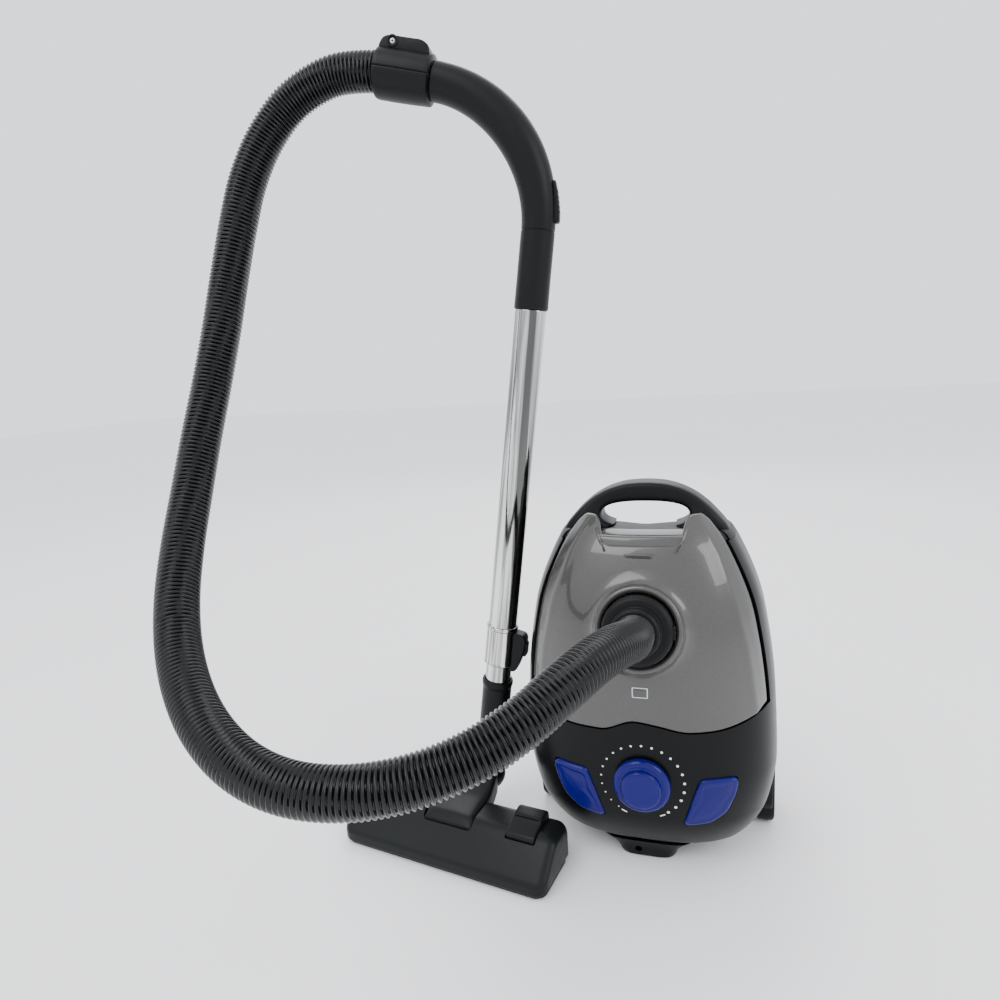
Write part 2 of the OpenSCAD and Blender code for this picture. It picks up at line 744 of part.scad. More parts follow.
module rocker_ear() {
  translate([rocker_half + 1, rocker_pin_y - 6, rocker_pin_z - 5]) cube([ear_t, 12, 11]);
}
module head_shell() color([0.1, 0.11, 0.11]) at_head() difference() {
  intersection() {
    head_bar(0);
    plan(0);
  }
  difference() {
    intersection() {
      union() {
        head_bar(shell_t);
        translate([-head_len / 2 + 8, -head_depth / 2 + 4, 0]) cube([head_len - 16, head_depth - 8, 12]);
      }
      plan(shell_t);
    }
    translate([-yoke_half - 8, -far, 0]) cube([2 * yoke_half + 16, 2 * far, far]);
    translate([rocker_x, 0, 0]) both() rocker_ear();
  }
  translate([-yoke_half - 1, -14, sole_z + sole_t]) cube([2 * yoke_half + 2, far, far]);
  translate([0, 0, pivot_z]) x_rod(pivot_r + fit, -yoke_half - 6.5, yoke_half + 6.5);
  translate([0, 0, -1]) cube([far, far, 2 * (sole_z + sole_t + 1)], center = true);
  for (y = [-1, 1]) translate([-head_len / 2 + 20, y * brush_y - 3.5, 0]) cube([head_len - 40, 7, 14]);
  translate([rocker_x - rocker_half - 1, -12, head_h - 14]) cube([2 * rocker_half + 2, 50, far]);
  translate([rocker_x, rocker_pin_y, rocker_pin_z])
    x_rod(rocker_pin_r + fit, -rocker_half - ear_t - 2, rocker_half + ear_t + 2);
}
module sole_plate() color([0.12, 0.12, 0.12]) at_head() difference() {
  intersection() {
    translate([-far, -far, sole_z]) cube([2 * far, 2 * far, sole_t]);
    plan(3);
  }
  translate([-110, -6, -5]) cube([220, 12, 20]);
  for (y = [-1, 1]) translate([-head_len / 2 + 22, y * brush_y - 3, -5]) cube([head_len - 44, 6, 20]);
  both() translate([rocker_x - 30, head_wheel_y - 8, -5]) cube([16, 16, 20]);
}
module rocker_pedal() color([0.1, 0.11, 0.11]) at_head() translate([rocker_x, 0, 0]) {
  rotate([90, 0, 90]) translate([0, 0, -rocker_half]) linear_extrude(2 * rocker_half)
    polygon([[-11, head_h - 10], [-8, head_h - 1], [10, head_h + 8], [30, head_h + 10], [36, head_h + 3],
      [36, head_h - 10]]);
  translate([0, rocker_pin_y, rocker_pin_z])
    x_rod(rocker_pin_r, -rocker_half - ear_t, rocker_half + ear_t);
}
module brush_strips() color("black") at_head() {
  for (y = [-1, 1]) translate([-head_len / 2 + 23, y * brush_y - 2.5, sole_z + 0.5])
    cube([head_len - 46, 5, brush_h]);
  for (x = [-60, 60]) translate([x - 4, -brush_y, sole_z + 8]) cube([8, 2 * brush_y, 3]);
}
module head_wheels() color([0.15, 0.15, 0.16]) at_head() translate([0, head_wheel_y, head_wheel_r]) both() {
  x_rod(head_wheel_r, rocker_x - 28, rocker_x - 16);
  x_rod(2, rocker_x - 32, rocker_x - 12);
}

// ---- Hose ----

// The hose's route, from the inlet cuff to the handle's clamp.
hose_route = [
  [0, -146.4, 309.5], [0, -185, 319], [-8, -222, 328], [-22, -263, 331], [-40, -299, 324],
  [-65, -332, 309], [-98, -360, 293], [-138, -383, 282], [-182, -398, 277], [-228, -403, 278],
  [-272, -397, 286], [-314, -380, 300], [-353, -354, 319], [-387, -322, 345], [-412, -288, 380],
  [-429, -252, 422], [-439, -218, 468], [-444, -187, 520], [-444, -159, 575], [-440, -136, 633],
  [-436, -115, 692], [-428, -97, 752], [-418, -83, 799], [-398, -70, 842], [-366, -59, 877],
  [-321, -50, 897], [-275.5, -43.7, 896.6]];
hose_sides = 12;
route_last = len(hose_route) - 1;
function spline(a, b, c, d, t) = b + 0.5 * t * (c - a + t * (2 * a - 5 * b + 4 * c - d
  + t * (3 * (b - c) + d - a)));
function clamped(i) = hose_route[max(0, min(route_last, i))];
hose_line = concat([for (i = [0 : route_last - 1]) for (t = [0, 0.5])
  spline(clamped(i - 1), clamped(i), clamped(i + 1), clamped(i + 2), t)], [hose_route[route_last]]);
line_last = len(hose_line) - 1;
function unit(v) = v / norm(v);
function along(i) = unit(hose_line[min(line_last, i + 1)] - hose_line[max(0, i - 1)]);
function square_to(v, t) = unit(v - (v * t) * t);
hose_sides_up = [for (i = 0, u = square_to([1, 0, 0], along(0)); i <= line_last;
  i = i + 1, u = i > line_last ? u : square_to(u, along(i))) u];
module hose() color([0.03, 0.03, 0.035]) polyhedron(
  points = [for (i = [0 : line_last]) for (k = [0 : hose_sides - 1])
    let (a = 360 * k / hose_sides, u = hose_sides_up[i], w = cross(along(i), u))
    hose_line[i] + hose_d / 2 * (cos(a) * u + sin(a) * w)],
  faces = concat([[for (k = [0 : hose_sides - 1]) k]],
    [[for (k = [hose_sides - 1 : -1 : 0]) line_last * hose_sides + k]],
    [for (i = [0 : line_last - 1]) for (k = [0 : hose_sides - 1]) for (half = [0, 1])
      let (a = i * hose_sides + k, b = i * hose_sides + (k + 1) % hose_sides)
      half == 0 ? [b, a, a + hose_sides] : [b, a + hose_sides, b + hose_sides]]));

base_shell();
top_cover();
carry_handle();
standing_foot();
wheel_left();
wheel_right();
tyre_left();
tyre_right();
wheel_axles();
caster_fork();
caster_wheel();
dust_lid();
lid_seal();
inlet_ring();
indicator_window();
lid_latch();
hose_connector();
connector_tab();
hose_end_cuff();
hose();
dial_marks();
speed_knob();
speed_control();
power_pedal();
rewind_pedal();
pedal_springs();
power_switch();
dust_chamber();
dust_bag();
bag_plate();
bag_holder();
motor_filter();
filter_frame();
motor_can();
motor_shaft();
fan_wheel();
motor_mounts();
exhaust_filter();
exhaust_grille();
reel_drum();
reel_axle();
cord_outlet();
circuit_board();
body_screws();
handle_tube();
clamp_upper();
clamp_lower();
clamp_screw();
suction_slider();
outer_tube();
lock_sleeve();
lock_button();
inner_tube();
neck_elbow();
neck_yoke();
head_shell();
sole_plate();
rocker_pedal();
brush_strips();
head_wheels();
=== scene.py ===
import json
import math

import bmesh
import bpy
import numpy as np
from mathutils import Matrix, Vector


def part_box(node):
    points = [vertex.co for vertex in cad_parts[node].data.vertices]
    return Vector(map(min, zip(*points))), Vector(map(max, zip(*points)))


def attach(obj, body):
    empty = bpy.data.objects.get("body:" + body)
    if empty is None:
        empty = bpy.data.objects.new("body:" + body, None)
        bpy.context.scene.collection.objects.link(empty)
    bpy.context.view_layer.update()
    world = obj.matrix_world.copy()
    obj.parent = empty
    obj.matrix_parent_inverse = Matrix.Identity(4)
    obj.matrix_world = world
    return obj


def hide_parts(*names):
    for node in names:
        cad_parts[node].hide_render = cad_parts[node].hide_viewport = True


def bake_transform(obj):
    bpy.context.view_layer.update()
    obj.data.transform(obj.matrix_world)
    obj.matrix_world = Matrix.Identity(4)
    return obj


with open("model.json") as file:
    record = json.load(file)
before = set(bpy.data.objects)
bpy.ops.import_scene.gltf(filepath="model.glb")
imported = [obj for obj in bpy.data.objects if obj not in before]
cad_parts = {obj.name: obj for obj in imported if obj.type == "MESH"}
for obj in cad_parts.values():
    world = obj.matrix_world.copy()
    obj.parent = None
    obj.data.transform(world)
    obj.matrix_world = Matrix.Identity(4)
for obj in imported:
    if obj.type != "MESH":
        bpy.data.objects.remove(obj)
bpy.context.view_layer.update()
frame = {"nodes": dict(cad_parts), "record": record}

bl_info = {
    "name": "Canister cleaner surfaces",
    "version": (1, 0, 0),
    "blender": (4, 5, 0),
    "location": "3D View > Sidebar > Cleaner",
    "description": "Builds the visible surfaces of a canister vacuum cleaner around its packed frame",
    "category": "Add Mesh",
}

MM = 0.001
SIDES = (-1, 1)

# ---- Sizes shared with the frame, in millimetres ----

BODY_W, BODY_H, BODY_D = 290.0, 446.0, 214.0
FRONT_D = BODY_D * 0.505
BACK_D = BODY_D - FRONT_D
STATIONS = np.array([
    (0.045, 0.63, 0.56, 0.58), (0.08, 0.8, 0.74, 0.79), (0.17, 0.945, 0.91, 0.925),
    (0.29, 1.0, 0.98, 0.98), (0.45, 0.985, 1.0, 1.0), (0.67, 0.9, 0.925, 0.98),
    (0.83, 0.72, 0.72, 0.85), (0.925, 0.5, 0.43, 0.585), (0.985, 0.25, 0.13, 0.29)])
ROUNDNESS = 2.6
LOW_Z = STATIONS[0, 0] * BODY_H
CROWN_Z = 0.872 * BODY_H
CROWN_T = 10.0
RIM_W = 9.0
WAVE = np.array([
    (-0.985, 0.43), (-0.5, 0.41), (-0.33, 0.41), (-0.05, 0.437), (0.13, 0.43), (0.37, 0.417),
    (0.57, 0.421), (0.8, 0.437), (0.985, 0.46)])
SCOOP_Z = 0.852 * BODY_H
INLET_TILT = math.radians(14)
INLET_Z = 0.668 * BODY_H
BOSS_H = 12.0
CUFF_START = 25.0
COLLAR_R = 37.0
HOSE_D = 41.0
KNOB_Z = 0.274 * BODY_H
KNOB_R = 31.0
KNOB_H = 17.0
PEDAL = np.array([
    (0.21, 0.294), (0.345, 0.298), (0.341, 0.256), (0.307, 0.197), (0.245, 0.164), (0.145, 0.155)])
WHEEL_R, WHEEL_W, WELL_GAP, TYRE_T = 48.0, 20.0, 2.5, 5.0
WHEEL = np.array([0.39 * BODY_W, 0.98 * BACK_D + 27 - WHEEL_R, WHEEL_R + 28])
FIN_IN, FIN_OUT = WHEEL[0] + WHEEL_W / 2 + 2, BODY_W / 2 + 1
HEAD_X, HEAD_Y, HEAD_YAW = -230.0, -100.0, math.radians(-10)
HEAD_LEN = 276.0
LEAN = math.radians(8.5)
OUTER_START, OUTER_LEN, OUTER_R = 158.0, 430.0, 17.5
OUTER_END = OUTER_START + OUTER_LEN
INNER_START, INNER_LEN, INNER_R = 62.0, 460.0, 16.0
LOCK_START = 150.0
BEND_START, BEND_R, BEND_ANGLE, BEND_TURN = OUTER_END + 86, 142.0, 84.0, math.radians(8)
CLAMP_LEN = 60.0
SCREW_AT = (28, 45, 14)
GRIP_R = 18.7
DIAL_R, DOT_COUNT = 45.0, 21
HOSE_ROUTE = np.array([
    (0, -146.4, 309.5), (0, -185, 319), (-8, -222, 328), (-22, -263, 331), (-40, -299, 324),
    (-65, -332, 309), (-98, -360, 293), (-138, -383, 282), (-182, -398, 277), (-228, -403, 278),
    (-272, -397, 286), (-314, -380, 300), (-353, -354, 319), (-387, -322, 345), (-412, -288, 380),
    (-429, -252, 422), (-439, -218, 468), (-444, -187, 520), (-444, -159, 575), (-440, -136, 633),
    (-436, -115, 692), (-428, -97, 752), (-418, -83, 799), (-398, -70, 842), (-366, -59, 877),
    (-321, -50, 897), (-275.5, -43.7, 896.6)], float)
HOSE_SPLIT = 0.46
HOSE_IN_CLAMP = 14.0
SHELL_T, LID_T = 2.6, 2.4

# Axes of a frame in which an outline is drawn: seen from the front, and seen from the side.
FRONT_VIEW = np.array([(1, 0, 0), (0, 0, -1), (0, 1, 0)])
SIDE_VIEW = np.array([(0, 0, 1), (1, 0, 0), (0, 1, 0)])


# ---- Frames: an origin and three axes, as the rows of a matrix ----

def unit(v):
    """A vector, or rows of vectors, over their own length."""
    return v / np.linalg.norm(v, axis=-1, keepdims=True)


def turn(axis, angle):
    """The matrix that turns column vectors by an angle about one of the three axes."""
    return np.array(Matrix.Rotation(angle, 3, axis))


class Place:
    """A local frame. at() carries local millimetres to row millimetres: origin plus axes times point."""

    def __init__(self, origin, axes):
        self.origin = np.asarray(origin, float)
        self.axes = np.asarray(axes, float)

    def at(self, points):
        return np.asarray(points, float) @ self.axes.T + self.origin

    def moved(self, offset, axes=np.eye(3)):
        return Place(self.at(offset), self.axes @ axes)


def box_of(node):
    """The low and high corners of one of the frame's nodes, in millimetres."""
    return [np.array(corner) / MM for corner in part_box(node)]


def sided(name, side):
    """A name with the side that the piece is on."""
    return name + ("_right" if side > 0 else "_left")


def full_turn(count):
    """Angles at even steps round a circle."""
    return np.linspace(0, 2 * math.pi, count, endpoint=False)


def signed_power(value, power):
    """The sign of a value times a power of its size."""
    return np.sign(value) * np.abs(value) ** power


def smooth_through(z, knots, values):
    """A monotone cubic through the knots: each piece blends its end values and harmonic-mean slopes."""
    step = np.diff(knots)
    rise = np.diff(values) / step
    slope = np.zeros(len(knots))
    same = rise[1:] * rise[:-1] > 0
    slope[1:-1][same] = 2 * rise[1:][same] * rise[:-1][same] / (rise[1:] + rise[:-1])[same]
    slope[0], slope[-1] = rise[0], rise[-1]
    z = np.clip(z, knots[0], knots[-1])
    i = np.clip(np.searchsorted(knots, z) - 1, 0, len(step) - 1)
    t = (z - knots[i]) / step[i]
    h = step[i]
    return (values[i] * (1 + 2 * t) * (1 - t) ** 2 + slope[i] * h * t * (1 - t) ** 2
            + values[i + 1] * t * t * (3 - 2 * t) + slope[i + 1] * h * t * t * (t - 1))


def station(z, i, size):
    """One of the cross sections' sizes at a height, carried smoothly through the stations."""
    return smooth_through(np.asarray(z, float), STATIONS[:, 0] * BODY_H, STATIONS[:, i] * size)


def half_width(z):
    """Half the casing's width at a height."""
    return station(z, 1, BODY_W / 2)


def casing_point(q, z, side, out=0.0):
    """A point on the casing: x is q of the half width, and y follows a superellipse of power 2.6 whose
    two half depths come from the stations. side is -1 at the front and 1 at the back."""
    q, z = np.broadcast_arrays(np.asarray(q, float), np.asarray(z, float))
    front, back = station(z, 2, FRONT_D), station(z, 3, BACK_D)
    reach = (1 - np.clip(np.abs(q), 0, 1) ** ROUNDNESS) ** (1 / ROUNDNESS)
    y = (back - front) / 2 + side * ((front + back) / 2 + out) * reach
    return np.stack([q * (half_width(z) + out), y, z], -1)


def on_front(x, z, out=0.0):
    """The point of the casing's front at x and z, moved outwards."""
    return casing_point(x / half_width(z), z, -1, out)


def step_up(value, low, high):
    """0 below low, 1 above high, and the smooth cubic 3t squared minus 2t cubed between them."""
    t = np.clip((value - low) / (high - low), 0, 1)
    return t * t * (3 - 2 * t)


def wave_z(share):
    """Height of the lid's lower edge at a share of the way across, from -1 to 1."""
    return smooth_through(np.asarray(share, float), WAVE[:, 0], WAVE[:, 1] * BODY_H)


def inlet_place():
    """The inlet's frame: its origin on the casing's front, its z along the inlet's axis, tilted upwards."""
    y = float(casing_point(0, INLET_Z, -1)[1])
    axes = np.array([(1, 0, 0), (0, math.sin(INLET_TILT), -math.cos(INLET_TILT)),
                     (0, math.cos(INLET_TILT), math.sin(INLET_TILT))])
    return Place((0, y, INLET_Z), axes)


HEAD = Place((HEAD_X, HEAD_Y, 0), turn("Z", HEAD_YAW))
WAND = Place(HEAD.at((8, 86, 55)), turn("Y", LEAN))
BEND = WAND.moved((0, 0, BEND_START), turn("Z", BEND_TURN))
INLET = inlet_place()


def bend_place(angle):
    """The frame on the handle's centre line, angle degrees along the bend, its z along the line."""
    a = math.radians(angle)
    return BEND.moved((BEND_R * (math.cos(a) - 1), 0, BEND_R * math.sin(a)), turn("Y", -a))


# ---- Meshes from grids ----

def make_mesh(name, points, quads, flip=False, sharp=35):
    """A mesh object from points in millimetres and quads. Doubles are merged, so poles and seams close."""
    if flip:
        quads = quads[:, ::-1]
    mesh = bpy.data.meshes.new(name)
    mesh.vertices.add(len(points))
    mesh.vertices.foreach_set("co", (np.asarray(points, float) * MM).ravel())
    mesh.loops.add(quads.size)
    mesh.loops.foreach_set("vertex_index", quads.astype(np.int32).ravel())
    mesh.polygons.add(len(quads))
    mesh.polygons.foreach_set("loop_start", np.arange(0, quads.size, 4, dtype=np.int32))
    mesh.update(calc_edges=True)
    tidy = bmesh.new()
    tidy.from_mesh(mesh)
    bmesh.ops.remove_doubles(tidy, verts=tidy.verts, dist=2e-6)
    bmesh.ops.dissolve_degenerate(tidy, edges=tidy.edges, dist=1e-7)
    tidy.to_mesh(mesh)
    tidy.free()
    mesh.validate()
    mesh.polygons.foreach_set("use_smooth", np.ones(len(mesh.polygons), bool))
    mesh.set_sharp_from_angle(angle=math.radians(sharp))
    piece = bpy.data.objects.new(name, mesh)
    bpy.context.scene.collection.objects.link(piece)
    return piece


def grid_quads(rows, cols, wrap_cols=False):
    """The quads of a grid of rows by columns, whose last column may join the first."""
    a, b = np.meshgrid(np.arange(rows - 1), np.arange(cols if wrap_cols else cols - 1), indexing="ij")
    here, below, right = a * cols, (a + 1) * cols, (b + 1) % cols
    return np.stack([here + b, here + right, below + right, below + b], -1).reshape(-1, 4)


def surface(name, grid, wrap_cols=False, flip=False, sharp=35):
    """A mesh from a grid of points in rows and columns."""
    rows, cols = grid.shape[:2]
    return make_mesh(name, grid.reshape(-1, 3), grid_quads(rows, cols, wrap_cols), flip, sharp)


def surfaces(name, grids, wrap_cols=False, sharp=35):
    """Several grids in one mesh, each of which may wrap round its columns."""
    points, quads, start = [], [], 0
    for grid in grids:
        points.append(grid.reshape(-1, 3))
        quads.append(grid_quads(grid.shape[0], grid.shape[1], wrap_cols) + start)
        start += len(points[-1])
    return make_mesh(name, np.concatenate(points), np.concatenate(quads), False, sharp)


def face_out(piece):
    """Turns a closed piece's faces outwards."""
    tidy = bmesh.new()
    tidy.from_mesh(piece.data)
    bmesh.ops.recalc_face_normals(tidy, faces=tidy.faces)
    tidy.to_mesh(piece.data)
    tidy.free()
    return piece


def thicken(piece, amount):
    """Gives an open skin a wall, on the side that its faces point away from."""
    wall = piece.modifiers.new("wall", "SOLIDIFY")
    wall.thickness = amount * MM
    wall.offset = -1
    wall.use_even_offset = False
    return piece


def rounded_profile(corners, radius=1.0, steps=4):
    """Rounds each inner corner of an open profile with a quadratic curve that starts radius before it."""
    corners = np.asarray(corners, float)
    out = [corners[:1]]
    t = np.linspace(0, 1, steps + 1)[:, None]
    for a, b, c in zip(corners[:-2], corners[1:-1], corners[2:]):
        r1 = min(radius, np.linalg.norm(a - b) * 0.45)
        r2 = min(radius, np.linalg.norm(c - b) * 0.45)
        p, q = b + unit(a - b) * r1, b + unit(c - b) * r2
        out.append((1 - t) ** 2 * p + 2 * t * (1 - t) * b + t * t * q)
    out.append(corners[-1:])
    return np.concatenate(out)


def lathe(name, profile, place, segments=96, radius=1.0, sharp=40):
    """A turned piece: a profile of radius and height carried round the local z axis."""
    profile = rounded_profile(profile, radius)
    angle = full_turn(segments)
    r, z = profile[:, 0][:, None], profile[:, 1][:, None]
    grid = np.stack([r * np.cos(angle), r * np.sin(angle), z + 0 * angle], -1)
    piece = surface(name, place.at(grid), wrap_cols=True, sharp=sharp)
    return face_out(piece)


def loop_of(half_x, half_y, count, power=2.6):
    """A closed superellipse: each coordinate is a signed power of the cosine or sine."""
    a = full_turn(count)
    return np.stack([half_x * signed_power(np.cos(a), 2 / power),
                     half_y * signed_power(np.sin(a), 2 / power)], -1)


def capped(rings):
    """Closes a stack of rings with a point at each end."""
    first, last = rings[:1].mean(1, keepdims=True), rings[-1:].mean(1, keepdims=True)
    return np.concatenate([np.broadcast_to(first, rings[:1].shape), rings,
                           np.broadcast_to(last, rings[-1:].shape)])


def pillow_block(name, centre, half, place, power=4.0, count=64, rows=33, sharp=60):
    """A block with soft edges: superellipse rings whose size follows another superellipse in height."""
    t = np.sin(np.linspace(-math.pi / 2, math.pi / 2, rows))
    size = (1 - np.abs(t) ** power) ** (1 / power)
    ring = loop_of(half[0], half[1], count, power)
    grid = np.empty((rows, count, 3))
    grid[..., :2] = ring[None] * size[:, None, None]
    grid[..., 2] = t[:, None] * half[2]
    return face_out(surface(name, place.at(grid + np.asarray(centre, float)), wrap_cols=True, sharp=sharp))


def rounded_outline(corners, radius, steps=6):
    """A closed outline with each corner rounded by a quadratic curve."""
    corners = np.asarray(corners, float)
    t = np.linspace(0, 1, steps + 1)[:, None]
    out = []
    for a, b, c in zip(np.roll(corners, 1, 0), corners, np.roll(corners, -1, 0)):
        r1 = min(radius, np.linalg.norm(a - b) * 0.45)
        r2 = min(radius, np.linalg.norm(c - b) * 0.45)
        p, q = b + unit(a - b) * r1, b + unit(c - b) * r2
        out.append((1 - t) ** 2 * p + 2 * t * (1 - t) * b + t * t * q)
    return np.concatenate(out)


def lengths_along(line):
    """The distance along a line of points to each of them."""
    return np.concatenate([[0], np.cumsum(np.linalg.norm(np.diff(line, axis=0), axis=1))])


def resample(outline, count):
    """Points at equal lengths along a closed outline."""
    closed = np.concatenate([outline, outline[:1]])
    length = lengths_along(closed)
    at = np.linspace(0, length[-1], count, endpoint=False)
    return np.stack([np.interp(at, length, closed[:, i]) for i in range(closed.shape[1])], -1)


def oblong(x0, x1, y0, y1, radius, steps=6):
    """A rectangle with rounded corners."""
    return rounded_outline([(x0, y0), (x1, y0), (x1, y1), (x0, y1)], radius, steps)


def round_hole(radius, centre, count=32):
    """A circle round a centre."""
    return loop_of(radius, radius, count, 2) + centre


def applied(piece):
    """Replaces a piece's mesh with its evaluated one and drops its modifiers."""
    bpy.context.view_layer.update()
    final = bpy.data.meshes.new_from_object(piece.evaluated_get(bpy.context.evaluated_depsgraph_get()))
    piece.modifiers.clear()
    piece.data = final
    return piece


def carve(piece, *cutters):
    """Cuts closed cutters out of a closed piece, then removes them."""
    for cutter in cutters:
        cut = piece.modifiers.new("cut", "BOOLEAN")
        cut.operation = "DIFFERENCE"
        cut.solver = "EXACT"
        cut.object = cutter
    applied(piece)
    for cutter in cutters:
        bpy.data.objects.remove(cutter)
    piece.data.polygons.foreach_set("use_smooth", np.ones(len(piece.data.polygons), bool))
    piece.data.set_sharp_from_angle(angle=math.radians(32))
    return piece


def plate(name, outline, low, high, edge, place, steps=5, sharp=50):
    """A thick outline: its rings run up the local z axis from low to high, and at each end they draw in
    by a quarter circle of radius edge."""
    middle = outline.mean(0)
    a = np.linspace(0, math.pi / 2, steps)
    inset = np.concatenate([edge * (1 - np.sin(a)), edge * (1 - np.cos(a))])
    height = np.concatenate([low + edge * (1 - np.cos(a)), high - edge * (1 - np.sin(a))])
    reach = np.linalg.norm(outline - middle, axis=1)[None, :, None]
    flat = middle + (outline - middle)[None] * np.clip(1 - inset[:, None, None] / reach, 0, 1)
    rings = np.concatenate([flat, np.broadcast_to(height[:, None, None], flat.shape[:2] + (1,))], -1)
    return face_out(surface(name, place.at(capped(rings)), wrap_cols=True, sharp=sharp))


FROM_FRONT = Place((0, 0, 0), FRONT_VIEW)
FROM_SIDE = Place((0, 0, 0), SIDE_VIEW)
FROM_ABOVE = Place((0, 0, 0), np.eye(3))


def cutter(outline, low, high, place=FROM_FRONT, edge=0.1):
    """A plate that is only there to be cut out of a piece."""
    return plate("cut", outline, low, high, edge, place)


def stretch_between(a, b, count):
    """Rows from one ring of points to another, with even steps."""
    t = np.linspace(0, 1, count)[:, None, None]
    return a[None] * (1 - t) + b[None] * t


# ---- Finishes ----

def noise_node(nodes, links, coords, scale, detail, stretch=(1, 1, 1)):
    """A noise texture that reads object coordinates, stretched along each axis."""
    mapping = nodes.new("ShaderNodeMapping")
    mapping.inputs["Scale"].default_value = stretch
    links.new(coords.outputs["Object"], mapping.inputs["Vector"])
    noise = nodes.new("ShaderNodeTexNoise")
    noise.inputs["Scale"].default_value = scale
    noise.inputs["Detail"].default_value = detail
    links.new(mapping.outputs["Vector"], noise.inputs["Vector"])
    return noise


def finish(name, colour, rough, spread=0.06, vary=0.12, metallic=0.0, coat=0.0, coat_rough=0.05,
           grain=900.0, bump=0.06, patch=14.0, stretch=(1, 1, 1), sheen=0.0, specular=0.5):
    """A finish on object coordinates. The colour drifts by vary over broad patches, the roughness by
    spread over finer ones, and a fine grain drives the bump."""
    material = bpy.data.materials.new(name)
    material.use_nodes = True
    nodes, links = material.node_tree.nodes, material.node_tree.links
    shader = nodes["Principled BSDF"]
    shader.inputs["Metallic"].default_value = metallic
    shader.inputs["Coat Weight"].default_value = coat
    shader.inputs["Coat Roughness"].default_value = coat_rough
    shader.inputs["Sheen Weight"].default_value = sheen
    shader.inputs["Specular IOR Level"].default_value = specular
    coords = nodes.new("ShaderNodeTexCoord")
    broad = noise_node(nodes, links, coords, patch, 3, stretch)
    ramp = nodes.new("ShaderNodeValToRGB")
    ramp.color_ramp.elements[0].position = 0.3
    ramp.color_ramp.elements[1].position = 0.7
    ramp.color_ramp.elements[0].color = (*[c * (1 - vary) for c in colour], 1)
    ramp.color_ramp.elements[1].color = (*[min(1, c * (1 + vary)) for c in colour], 1)
    links.new(broad.outputs["Fac"], ramp.inputs["Fac"])
    links.new(ramp.outputs["Color"], shader.inputs["Base Color"])
    fine = noise_node(nodes, links, coords, patch * 6, 4, stretch)
    spans = nodes.new("ShaderNodeMapRange")
    spans.inputs["To Min"].default_value = max(0.02, rough - spread)
    spans.inputs["To Max"].default_value = min(1, rough + spread)
    links.new(fine.outputs["Fac"], spans.inputs["Value"])
    links.new(spans.outputs["Result"], shader.inputs["Roughness"])
    texture = noise_node(nodes, links, coords, grain, 2, stretch)
    relief = nodes.new("ShaderNodeBump")
    relief.inputs["Strength"].default_value = bump
    relief.inputs["Distance"].default_value = 0.0004
    links.new(texture.outputs["Fac"], relief.inputs["Height"])
    links.new(relief.outputs["Normal"], shader.inputs["Normal"])
    return material


def lid_paint(name, colour):
    """Metallic paint under lacquer: dark flakes from a cell pattern over the base, and a slow drift."""
    material = finish(name, colour, 0.3, 0.05, 0.10, metallic=0.35, coat=0.7, coat_rough=0.03,
                      grain=60, bump=0.01, patch=5)
    nodes, links = material.node_tree.nodes, material.node_tree.links
    coords = next(n for n in nodes if n.bl_idname == "ShaderNodeTexCoord")
    shader = nodes["Principled BSDF"]
    ramp = next(n for n in nodes if n.bl_idname == "ShaderNodeValToRGB")
    cells = nodes.new("ShaderNodeTexVoronoi")
    cells.inputs["Scale"].default_value = 1600
    links.new(coords.outputs["Object"], cells.inputs["Vector"])
    flakes = nodes.new("ShaderNodeMapRange")
    flakes.inputs["To Min"].default_value = 0.82
    flakes.inputs["To Max"].default_value = 1.25
    links.new(cells.outputs["Color"], flakes.inputs["Value"])
    mix = nodes.new("ShaderNodeMix")
    mix.data_type = "RGBA"
    mix.blend_type = "MULTIPLY"
    mix.inputs["Factor"].default_value = 1
    links.new(ramp.outputs["Color"], mix.inputs["A"])
    links.new(flakes.outputs["Result"], mix.inputs["B"])
    links.new(mix.outputs["Result"], shader.inputs["Base Color"])
    return material


def chrome(name):
    """Polished tube: bright metal with darker streaks that run along it, from a noise stretched lengthwise. The
    streaks are painted reflections of the room, set into the metal's colour.
    """
    material = finish(name, (0.55, 0.55, 0.53), 0.1, 0.03, 0.0, metallic=1.0, grain=1200, bump=0.01,
                      patch=75)
    for mapping in (n for n in material.node_tree.nodes if n.bl_idname == "ShaderNodeMapping"):
        mapping.vector_type = "TEXTURE"
        mapping.inputs["Rotation"].default_value = (0, LEAN, HEAD_YAW)
        mapping.inputs["Scale"].default_value = (1, 1, 120)
    ramp = next(n for n in material.node_tree.nodes if n.bl_idname == "ShaderNodeValToRGB").color_ramp
    # These stops paint the room's reflections into the colour as dark and bright streaks along the tube.
    for i, (position, value) in enumerate(((0.38, 0.10), (0.47, 0.62))):
        ramp.elements[i].position = position
        ramp.elements[i].color = (value, value, value * 0.97, 1)
    for position, value in ((0.54, 0.22), (0.60, 0.75)):
        ramp.elements.new(position).color = (value, value, value * 0.97, 1)
    return material


def settings():
    """The sizes and colours that a user may change."""
    return bpy.context.scene.cleaner


